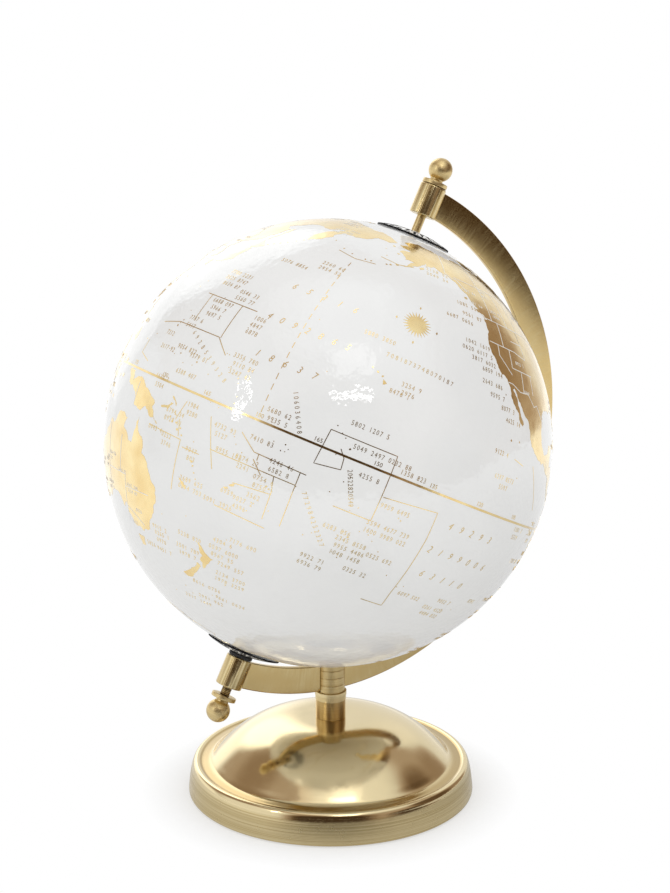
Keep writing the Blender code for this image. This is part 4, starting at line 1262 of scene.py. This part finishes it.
def brass_ferrule(finish):
    """Banded ferrule with a slot for the half-ring."""
    low = COLLAR_TOP
    spigot_low = COLLAR_TOP - SPIGOT_LENGTH
    band = (FERRULE_TOP - low) / FERRULE_BANDS
    groove = FERRULE_RADIUS - FERRULE_GROOVE
    outline = [(0, FERRULE_TOP), (groove, FERRULE_TOP)]
    for i in range(FERRULE_BANDS):
        crown = FERRULE_TOP - band * i
        outline += [(FERRULE_RADIUS, crown - share * band) for share in BAND_EDGES]
        outline.append((groove, crown - band))
    outline += [(SPIGOT_RADIUS, low), (SPIGOT_RADIUS, spigot_low), (0, spigot_low)]
    body = bpy.data.objects.new("ferrule", turned(rounded(outline, FERRULE_EDGE), SMALL_STEPS, Matrix()))
    slot_mesh = bpy.data.meshes.new("slot")
    work = bmesh.new()
    bmesh.ops.create_cube(work, size=1.0)
    height = 2 * (FERRULE_TOP - RING_FOOT)
    bmesh.ops.scale(work, vec=(4 * FERRULE_RADIUS, RING_THICKNESS + GAP, height), verts=work.verts)
    bmesh.ops.translate(work, vec=(0, 0, RING_FOOT - GAP / 2 + height / 2), verts=work.verts)
    work.to_mesh(slot_mesh)
    work.free()
    slot = bpy.data.objects.new("slot", slot_mesh)
    for item in (body, slot):
        bpy.context.scene.collection.objects.link(item)
    cut = body.modifiers.new("slot", "BOOLEAN")
    cut.operation = "DIFFERENCE"
    cut.object = slot
    mesh = smoothed(evaluated(body))
    bpy.data.objects.remove(slot, do_unlink=True)
    new_piece("brass_ferrule", mesh, finish, "stand", "turned_brass", "ring_ferrule")


def brass_half_ring(finish):
    """Flat strip bent to a half-ring, with eased edges and ends square against the barrels."""
    half = RING_THICKNESS / 2
    section = rounded([(RING_OUTER_RADIUS, half), (RING_OUTER_RADIUS, -half), (RING_INNER_RADIUS, -half),
                       (RING_INNER_RADIUS, half)], RING_EDGE, 5)
    work = bmesh.new()
    grain = work.verts.layers.float_vector.new("grain")
    rows = []
    for i in range(RING_STEPS + 1):
        row = []
        for radius, side in section:
            turn = acos(BARREL_RADIUS / radius) * (2 * i / RING_STEPS - 1)
            vertex = work.verts.new(RING_FRAME @ Vector((radius * cos(turn), side, radius * sin(turn))))
            vertex[grain] = (turn * RING_MID_RADIUS, radius, side)
            row.append(vertex)
        rows.append(row)
    count = len(section)
    for here, after in zip(rows, rows[1:]):
        for k in range(count):
            work.faces.new((here[k], here[(k + 1) % count], after[(k + 1) % count], after[k]))
    work.faces.new(rows[0])
    work.faces.new(rows[-1])
    new_piece("brass_half_ring", finished_mesh(work), finish, "stand", "satin_brass", "half_ring")


def brass_barrels(finish):
    """Tubes at the ends of the half-ring that hold the axle."""
    half = BARREL_LENGTH / 2
    for name, centre in (("upper", RING_MID_RADIUS), ("lower", -RING_MID_RADIUS)):
        profile = sleeve(BARREL_RADIUS, AXLE_BORE, centre - half, centre + half, BARREL_EDGE)
        mesh = turned(profile, SMALL_STEPS, RING_FRAME)
        new_piece(name + "_brass_barrel", mesh, finish, "stand", "polished_brass", name + "_barrel")


def brass_axle(finish, thread_finish):
    """Axle rod, with the thread that shows above the lower finial."""
    high = UPPER_FINIAL_SEAT + AXLE_IN_FINIAL
    low = -LOWER_FINIAL_SEAT - AXLE_IN_FINIAL
    profile = rounded([(0, high), (AXLE_RADIUS, high), (AXLE_RADIUS, low), (0, low)], AXLE_EDGE)
    mesh = turned(profile, SMALL_STEPS // 2, RING_FRAME)
    new_piece("brass_axle", mesh, finish, "stand", "satin_brass", "axle_rod")
    start = bpy.data.meshes.new("start")
    length = LOWER_FINIAL_SEAT - BARREL_END + BARREL_LENGTH / 4
    thread = grow(thread_tree(), start, Radius=AXLE_RADIUS, Length=length, Pitch=THREAD_PITCH,
                  Depth=THREAD_DEPTH, Finish=thread_finish)
    thread.transform(RING_FRAME @ Matrix.Translation((0, 0, -LOWER_FINIAL_SEAT)))
    new_piece("axle_thread", thread, None, "stand", "satin_brass")


def brass_finials(finish):
    """Ball, neck and flange that screw onto the axle's ends."""
    neck_turn = -acos(FINIAL_NECK_RADIUS / FINIAL_BALL_RADIUS)
    ball = arc((0, FINIAL_BALL_HEIGHT), FINIAL_BALL_RADIUS, pi / 2, neck_turn, FINIAL_STEPS)
    flange = rounded([
        (FINIAL_NECK_RADIUS, FINIAL_FLANGE_HEIGHT), (FINIAL_FLANGE_RADIUS, FINIAL_FLANGE_HEIGHT),
        (FINIAL_FLANGE_RADIUS, 0), (AXLE_BORE, 0), (AXLE_BORE, FINIAL_HOLE_DEPTH, True),
        (0, FINIAL_HOLE_DEPTH, True)], FINIAL_EDGE)
    profile = [(0, ball[0][1])] + ball[1:] + flange
    upper = RING_FRAME @ Matrix.Translation((0, 0, UPPER_FINIAL_SEAT))
    lower = RING_FRAME @ Matrix.Translation((0, 0, -LOWER_FINIAL_SEAT)) @ UPSIDE_DOWN
    for name, place in (("upper", upper), ("lower", lower)):
        mesh = turned(profile, SMALL_STEPS, place)
        new_piece(name + "_brass_finial", mesh, finish, "stand", "turned_brass", name + "_finial")


def rubber_spacer(finish):
    """Washer on the axle that keeps the lower dial off its barrel."""
    low = -RING_MID_RADIUS + BARREL_LENGTH / 2 + GAP
    profile = sleeve(SPACER_RADIUS, AXLE_BORE, low, low + SPACER_THICKNESS, SPACER_EDGE)
    mesh = turned(profile, SMALL_STEPS, RING_FRAME)
    new_piece("rubber_spacer", mesh, finish, "stand", "black_rubber", "lower_spacer")


# Pieces of the ball


def ball_shells(finish):
    """Two moulded bowls that meet in a hairline seam under the equator band."""
    inner = BALL_RADIUS - SHELL_WALL
    pole = acos(POLE_HOLE_RADIUS / BALL_RADIUS)
    rim = SEAM_GAP / BALL_RADIUS
    profile = arc((0, 0), BALL_RADIUS, pole, rim, BALL_STEPS // 4)
    profile += arc((0, 0), inner, rim, acos(POLE_HOLE_RADIUS / inner), BALL_STEPS // 8)
    for name, place in (("north", BALL_FRAME), ("south", BALL_FRAME @ UPSIDE_DOWN)):
        mesh = turned(profile, BALL_STEPS, place)
        new_piece(name + "_ball_shell", mesh, finish, "globe", "globe_shell", name + "_hemisphere")


def gilt_land(finish):
    """Every land as thin foil; gives the charts that say what is land."""
    chance = Random(COAST_SEED)
    spread = spread_points(LAND_POINTS)
    work = bmesh.new()
    charts = []
    for name, text in LAND.items():
        rings = [coast(text, chance, PRINTED_EAST.get(name, 0.0))]
        if name == "eurasia":
            rings.append(coast(INLAND_SEA, chance))
        chart = Chart(rings)
        held = chart.holds(spread)
        foil_shell(work, chart, [point for point, ok in zip(spread, held) if ok])
        charts.append(chart)
    printed_on_ball("gilt_land", finished_mesh(work), finish)
    return charts


def sun_ornament(finish):
    """A many-rayed sun, as old maps have."""
    ring = []
    for i in range(2 * SUN_RAYS):
        reach = SUN_DISC if i % 2 else SUN_REACH
        turn = pi * i / SUN_RAYS
        ring.append(shifted(*SUN_PLACE, reach * sin(turn), reach * cos(turn)))
    inner = [on_ball(*SUN_PLACE)]
    inner += [shifted(*SUN_PLACE, SUN_HEART * sin(i), SUN_HEART * cos(i)) for i in range(6)]
    work = bmesh.new()
    foil_shell(work, Chart([ring]), inner)
    printed_on_ball("sun_ornament", finished_mesh(work), finish)


def map_lines(ribbon, foil, unprinted):
    """Equator band, sea lines, date line and faint coast in foil; unprinted borders across the land."""
    sizes = {"Centre": BALL_CENTRE, "Height": 2 * FOIL_HEIGHT}
    equator = [on_ball(i, 0) for i in range(360)]
    band = grow(ribbon, line_mesh([equator], True), Width=EQUATOR_WIDTH, Finish=foil, **sizes)
    printed_on_ball("equator_band", band)
    lines = [drawn(text) for text in SEA_LINES] + dashes(drawn(DATE_LINE, DATE_LINE_STEP), *DATE_LINE_DASH)
    fine = grow(ribbon, line_mesh(lines), Width=SEA_LINE_WIDTH, Finish=foil, **sizes)
    ring = coast(FAINT_COAST, Random(FAINT_COAST_SEED))
    faint = grow(ribbon, line_mesh([ring], True), Width=FAINT_COAST_WIDTH, Finish=foil, **sizes)
    printed_on_ball("sea_lines", joined([fine, faint]), foil)
    sizes["Height"] = 2 * BORDER_HEIGHT
    borders = line_mesh([drawn(text) for text in BORDERS])
    printed_on_ball("land_borders", grow(ribbon, borders, Width=BORDER_WIDTH, Finish=unprinted, **sizes))


def unseen_print(charts, chance):
    """Places for small print on the far side, and on the land all round."""
    sea, land = [], []
    spots = [(chance.uniform(-180, 180), chance.uniform(*UNSEEN_LATITUDES)) for _ in range(UNSEEN_PLACES)]
    ways = [on_ball(*spot) for spot in spots]
    on_land = numpy.any([chart.holds(ways) for chart in charts], axis=0)
    for (longitude, latitude), dry in zip(spots, on_land):
        far = FAR_SIDE[0] < longitude < FAR_SIDE[1]
        if dry or far:
            row = f"{longitude} {latitude} {chance.randint(*UNSEEN_FIGURES)} {chance.choice(UNSEEN_ROWS)}"
            (land if dry else sea).append(row)
    return ",".join(sea), ",".join(land)


def map_marks(charts, foil, unprinted):
    """Small figures, islands and the sun's four points in foil; unprinted figures on the land."""
    chance = Random(PRINT_SEED)
    types = figure_types()
    press = figure_tree()
    far_sea, on_land = unseen_print(charts, chance)
    marks = fine_print(FINE_PRINT, PRINT_SIZE, chance) + fine_print(far_sea, PRINT_SIZE, chance)
    marks += slanted_rows(SLANTED_ROWS, SLANTED_SIZE, chance)
    printed_on_ball("fine_print", grow(press, mark_mesh(marks), Figures=types, Finish=foil))
    marks = sea_rows(SEA_ROWS, SEA_ROW_SIZE, chance)
    printed_on_ball("sea_figures", grow(press, mark_mesh(marks), Figures=types, Finish=foil))
    bare = fine_print(on_land, LAND_PRINT_SIZE, chance)
    marks = [(*m[:4], BORDER_HEIGHT / FOIL_HEIGHT, m[5]) for m in bare]
    printed_on_ball("land_figures", grow(press, mark_mesh(marks), Figures=types, Finish=unprinted))
    clear_types(types)
    stamp = mark_tree()
    islands = mark_mesh(island_marks(ISLANDS))
    printed_on_ball("small_islands", grow(stamp, islands, Sides=ISLAND_SIDES, Finish=foil))
    lozenges = []
    for quarter in range(4):
        turn = pi / 2 * quarter
        way = shifted(*SUN_PLACE, SUN_POINT * sin(turn), SUN_POINT * cos(turn))
        lozenges.append((way, level(*SUN_PLACE)[1], *SUN_POINT_SIZE, 2 * FOIL_HEIGHT, 0))
    printed_on_ball("sun_points", grow(stamp, mark_mesh(lozenges), Sides=4, Finish=foil))


def degree_figures(finish):
    """Plain degree figures just north of the equator."""
    meshes = []
    for longitude in range(-180, 180, FIGURE_STEP):
        mesh = figure_mesh(str(abs(longitude)), FIGURE_SIZE)
        for vertex in mesh.vertices:
            way = shifted(longitude, FIGURE_LATITUDE, vertex.co.x, vertex.co.y)
            vertex.co = BALL_FRAME @ (way * (BALL_RADIUS + vertex.co.z))
        meshes.append(mesh)
    printed_on_ball("degree_figures", joined(meshes), finish)


def hour_dial(name, body, place, plate_finish, ink):
    """Disc over a pole, dished deeper than the ball, with a black rim and plain hour figures."""
    under = DIAL_DISH_RADIUS
    over = under + DIAL_THICKNESS
    rim_height = sqrt(BALL_RADIUS ** 2 - DIAL_RADIUS ** 2) + DIAL_LIFT
    centre = (0, rim_height - sqrt(under ** 2 - DIAL_RADIUS ** 2))
    rim = acos(DIAL_RADIUS / over)
    profile = arc(centre, over, acos(AXLE_BORE / over), rim, DIAL_ARC_STEPS)
    profile += arc(centre, under, acos(DIAL_RADIUS / under), acos(AXLE_BORE / under), DIAL_ARC_STEPS)
    plate = turned(profile, DIAL_STEPS, place)
    new_piece(name + "_dial_plate", plate, plate_finish, body, "dial_plate", name + "_hour_dial")
    printed = acos(DIAL_RIM_PRINT / over)
    band = arc(centre, over + INK_HEIGHT, printed, rim, DIAL_RIM_STEPS)
    band += [(DIAL_RADIUS + INK_HEIGHT, rim_height), (DIAL_RADIUS - INK_HEIGHT, rim_height)]
    band += arc(centre, over - INK_HEIGHT, rim, printed, DIAL_RIM_STEPS)
    line_start, line_end = (acos(radius / over) for radius in DIAL_LINE)
    line = arc(centre, over + INK_HEIGHT, line_start, line_end, DIAL_LINE_STEPS)
    line += arc(centre, over - INK_HEIGHT, line_end, line_start, DIAL_LINE_STEPS)
    meshes = [turned(band, DIAL_STEPS, place), turned(line, DIAL_STEPS, place)]
    for i in range(HOURS):
        mesh = figure_mesh(f"{i + 1:02d}", HOUR_FIGURE_SIZE, HOUR_FIGURE_WEIGHT, HOUR_FIGURE_SMOOTHNESS)
        turn = pi / 2 - 2 * pi * i / HOURS
        for vertex in mesh.vertices:
            radius = HOUR_FIGURE_FOOT + vertex.co.y * HOUR_FIGURE_STRETCH
            angle = turn - vertex.co.x * HOUR_FIGURE_SQUEEZE / HOUR_FIGURE_RADIUS
            height = centre[1] + sqrt(over ** 2 - radius ** 2) + vertex.co.z
            vertex.co = place @ Vector((radius * cos(angle), radius * sin(angle), height))
        meshes.append(mesh)
    new_piece(name + "_dial_print", joined(meshes), ink, body, "dial_plate")


# The studio: the photograph's camera
IMAGE_WIDTH = 670
IMAGE_HEIGHT = 893
FOCAL_PIXELS = 2175.2
VIEW_CENTRE = (330.7, 442.75)
CAMERA_DISTANCE = 0.97435
CAMERA_TURN = radians(-29.72)
CAMERA_RISE = radians(14.96)
CAMERA_TARGET = Vector((0, 0, 0.1663))


def direction(turn, rise):
    """Unit vector at an azimuth from the front, to the right, and an elevation."""
    return Vector((sin(turn) * cos(rise), -cos(turn) * cos(rise), sin(rise)))


def set_camera():
    """The photograph's camera: its place, angle of view and framing."""
    lens = bpy.data.cameras.new("camera")
    lens.lens = lens.sensor_width * FOCAL_PIXELS / IMAGE_HEIGHT
    lens.shift_x = (IMAGE_WIDTH / 2 - VIEW_CENTRE[0]) / IMAGE_HEIGHT
    lens.shift_y = (VIEW_CENTRE[1] - IMAGE_HEIGHT / 2) / IMAGE_HEIGHT
    camera = bpy.data.objects.new("camera", lens)
    away = direction(CAMERA_TURN, CAMERA_RISE)
    camera.location = CAMERA_TARGET + away * CAMERA_DISTANCE
    camera.rotation_euler = away.to_track_quat("Z", "Y").to_euler()
    bpy.context.scene.collection.objects.link(camera)
    bpy.context.scene.camera = camera


def set_lamp(name, turn, rise, distance, width, height, radiance):
    """A soft box that faces the ball; its power follows from how bright its face is."""
    box = bpy.data.lights.new(name, "AREA")
    box.shape = "RECTANGLE"
    box.size = width
    box.size_y = height
    box.energy = radiance * pi * width * height
    lamp = bpy.data.objects.new(name, box)
    away = direction(radians(turn), radians(rise))
    lamp.location = BALL_CENTRE + away * distance
    lamp.rotation_euler = away.to_track_quat("Z", "Y").to_euler()
    lamp.visible_camera = False
    bpy.context.scene.collection.objects.link(lamp)


# The room as metal shows it: azimuth, elevation, inner and outer angle of a spot, and its brightness
ROOM_SPOTS = (
    (140, 12, 18, 42, 0.95),
    (174, 6, 13, 25, 1.55),
    (172, 32, 12, 21, 2.10),
    (-95, 12, 22, 45, 1.00),
    (-150, 0, 13, 23, 1.20),
    (22, 68, 10, 40, 1.05),
    (128, 34, 8, 20, 1.05),
    (-30, 5, 24, 44, 0.06),
    (34, -8, 14, 27, 0.07),
    (66, 22, 16, 28, 0.13),
    (98, 16, 7, 18, 0.36),
    (-140, 46, 9, 22, 0.34),
)
ROOM_DIM = 0.50
ROOM_LEVEL = 0.84
WARM_BELOW = (0.05, 0.85)
DIM_ROOM = "#FFC78E"
WHITE = (1, 1, 1, 1)

# The paper as metal shows it, with a painted shadow of the globe about two centres, and the glow that the
# camera sees away from the base
SHADE_CENTRE = (0.16, -0.07, 0)
SHADE_REACH = (0.05, 0.55)
SHADE_LEVELS = (0.52, 1.25)
CONTACT_SHADOW_CENTRE = (-0.09, -0.17, 0)
CONTACT_SHADOW_REACH = (0.05, 0.13)
CONTACT_SHADOW_LEVELS = (0.18, 1.0)
GLOW_REACH = (0.067, 0.088)
GLOW_LEVELS = (0.52, 1.0)
MIRRORED_GLOW = 0.8
PAPER_CORNERS = ((-1.5, -0.87), (1.5, -0.87), (1.5, 1.6), (-1.5, 1.6))
PAPER_GAP = 0.00005

# Lamps: azimuth, elevation, distance, width, height and brightness
LAMPS = {
    "left window": (-78, 29, 1.3, 0.05, 0.40, 11.0),
    "front window": (-16, 37, 1.3, 0.42, 0.07, 9.0),
    "skylight": (-12, 54, 1.3, 0.45, 0.34, 1.6),
    "ceiling": (-30, 80, 1.4, 1.2, 1.2, 0.4),
}


def set_world():
    """A plain white room that lights evenly; metal also shows its windows and its dim corners."""
    world = bpy.data.worlds.new("studio")
    bpy.context.scene.world = world
    world.use_nodes = True
    tree = world.node_tree
    way = add(tree, "ShaderNodeTexCoord").outputs["Generated"]
    room = ROOM_DIM
    for turn, rise, inner, outer, brightness in ROOM_SPOTS:
        sides = {0: way, 1: direction(radians(turn), radians(rise))}
        near = add(tree, "ShaderNodeVectorMath", sides, operation="DOT_PRODUCT").outputs["Value"]
        limits = {"Value": near, "From Min": cos(radians(outer)), "From Max": cos(radians(inner))}
        spot = add(tree, "ShaderNodeMapRange", limits, interpolation_type="SMOOTHSTEP").outputs[0]
        room = add(tree, "ShaderNodeMix", {0: spot, 2: room, 3: brightness}, data_type="FLOAT").outputs[0]
    path = add(tree, "ShaderNodeLightPath").outputs
    mirrored = {0: path["Is Glossy Ray"], 1: path["Is Transmission Ray"]}
    shown = add(tree, "ShaderNodeMath", mirrored, operation="MAXIMUM").outputs[0]
    lit = add(tree, "ShaderNodeMix", {0: shown, 2: ROOM_LEVEL, 3: room}, data_type="FLOAT").outputs[0]
    straight = {0: path["Is Camera Ray"], 2: lit, 3: 1.0}
    seen = add(tree, "ShaderNodeMix", straight, data_type="FLOAT").outputs[0]
    tree.links.new(seen, tree.nodes["Background"].inputs["Strength"])
    warmth = {"Value": room, "From Min": WARM_BELOW[0], "From Max": WARM_BELOW[1]}
    bright = add(tree, "ShaderNodeMapRange", warmth).outputs[0]
    hue = add(tree, "ShaderNodeMix", {0: bright, 6: linear(DIM_ROOM), 7: WHITE}, data_type="RGBA").outputs[2]
    colour = add(tree, "ShaderNodeMix", {0: shown, 6: WHITE, 7: hue}, data_type="RGBA").outputs[2]
    tree.links.new(colour, tree.nodes["Background"].inputs["Color"])


def fall_off(tree, place, centre, reach, levels):
    """A level that changes with the distance from a centre, from one reach to another."""
    away = add(tree, "ShaderNodeVectorMath", {0: place, 1: centre}, operation="DISTANCE").outputs["Value"]
    limits = {"Value": away, "From Min": reach[0], "From Max": reach[1],
              "To Min": levels[0], "To Max": levels[1]}
    return add(tree, "ShaderNodeMapRange", limits).outputs[0]


def set_floor():
    """White paper sheet that ends in front of the globe and keeps its shadow; to the camera it glows white
    away from the base, and metal sees on it a painted shadow of the globe, beside it and in front of it."""
    finish = bpy.data.materials.new("matt white paper")
    finish.use_nodes = True
    tree = finish.node_tree
    tree.nodes.clear()
    place = add(tree, "ShaderNodeTexCoord").outputs["Object"]
    path = add(tree, "ShaderNodeLightPath").outputs
    # Painted shadow of the globe, seen only by metal: the paper glows dimmer about these two centres
    far = fall_off(tree, place, SHADE_CENTRE, SHADE_REACH, SHADE_LEVELS)
    near = fall_off(tree, place, CONTACT_SHADOW_CENTRE, CONTACT_SHADOW_REACH, CONTACT_SHADOW_LEVELS)
    painted_shadow = add(tree, "ShaderNodeMath", {0: far, 1: near}, operation="MULTIPLY").outputs[0]
    strength = add(tree, "ShaderNodeMix", {0: path["Is Camera Ray"], 2: painted_shadow, 3: 1.0}, data_type="FLOAT")
    glow = add(tree, "ShaderNodeEmission", {"Strength": strength.outputs[0]})
    clear = fall_off(tree, place, (0, 0, 0), GLOW_REACH, GLOW_LEVELS)
    mirrored = {0: path["Is Glossy Ray"], 1: path["Is Transmission Ray"]}
    shown = add(tree, "ShaderNodeMath", mirrored, operation="MAXIMUM").outputs[0]
    dull = add(tree, "ShaderNodeMath", {0: shown, 1: MIRRORED_GLOW}, operation="MULTIPLY").outputs[0]
    parts = {0: path["Is Camera Ray"], 1: clear, 2: dull}
    share = add(tree, "ShaderNodeMath", parts, operation="MULTIPLY_ADD").outputs[0]
    paper = add(tree, "ShaderNodeBsdfDiffuse", {"Color": linear("#F6F6F5")})
    mixed = add(tree, "ShaderNodeMixShader", {0: share, 1: paper.outputs[0], 2: glow.outputs[0]})
    add(tree, "ShaderNodeOutputMaterial", {"Surface": mixed.outputs[0]})
    work = bmesh.new()
    work.faces.new([work.verts.new((x, y, -PAPER_GAP)) for x, y in PAPER_CORNERS])
    mesh = bpy.data.meshes.new("paper")
    work.to_mesh(mesh)
    work.free()
    mesh.materials.append(finish)
    floor = bpy.data.objects.new("paper_floor", mesh)
    bpy.context.scene.collection.objects.link(floor)


def dress_stand():
    """Every piece of the stand in its finish."""
    turned_finish = turned_brass()
    satin = brushed_brass()
    brass_base(spun_brass())
    brass_collar(rubbed_brass())
    brass_ferrule(turned_finish)
    brass_half_ring(satin)
    brass_barrels(streaked_brass())
    brass_axle(turned_finish, browned_brass())
    brass_finials(turned_finish)
    rubber_spacer(black_rubber())
    felt_disc(wool_felt())


def dress_ball():
    """The ball, its print and the dials over its poles."""
    lacquer = lacquered_plastic()
    foil = gilt_foil()
    ink = black_ink()
    enamel = white_enamel()
    ball_shells(lacquer)
    charts = gilt_land(foil)
    sun_ornament(foil)
    map_lines(ribbon_tree(), foil, lacquer)
    map_marks(charts, foil, lacquer)
    degree_figures(foil)
    hour_dial("north", "north_dial", BALL_FRAME, enamel, ink)
    hour_dial("south", "south_dial", BALL_FRAME @ UPSIDE_DOWN, enamel, ink)


def dress_hidden():
    """Finishes of the solids that stay as they are, inside the ball and the base."""
    hidden = {
        zinc_steel(): ("base_washer", "base_nut", "stem_rod"),
        moulded_plastic(): ("north_bush", "south_bush"),
        pressed_card(): ("seam_ring",),
        hardboard(): ("bottom_plate",),
    }
    for finish, nodes in hidden.items():
        for node in nodes:
            mesh = frame["nodes"][node].data
            mesh.materials.clear()
            mesh.materials.append(finish)


set_camera()
dress_stand()
dress_ball()
dress_hidden()
set_floor()
set_world()
for lamp_name, lamp_sizes in LAMPS.items():
    set_lamp(lamp_name, *lamp_sizes)
bpy.context.scene.view_settings.view_transform = "Standard"
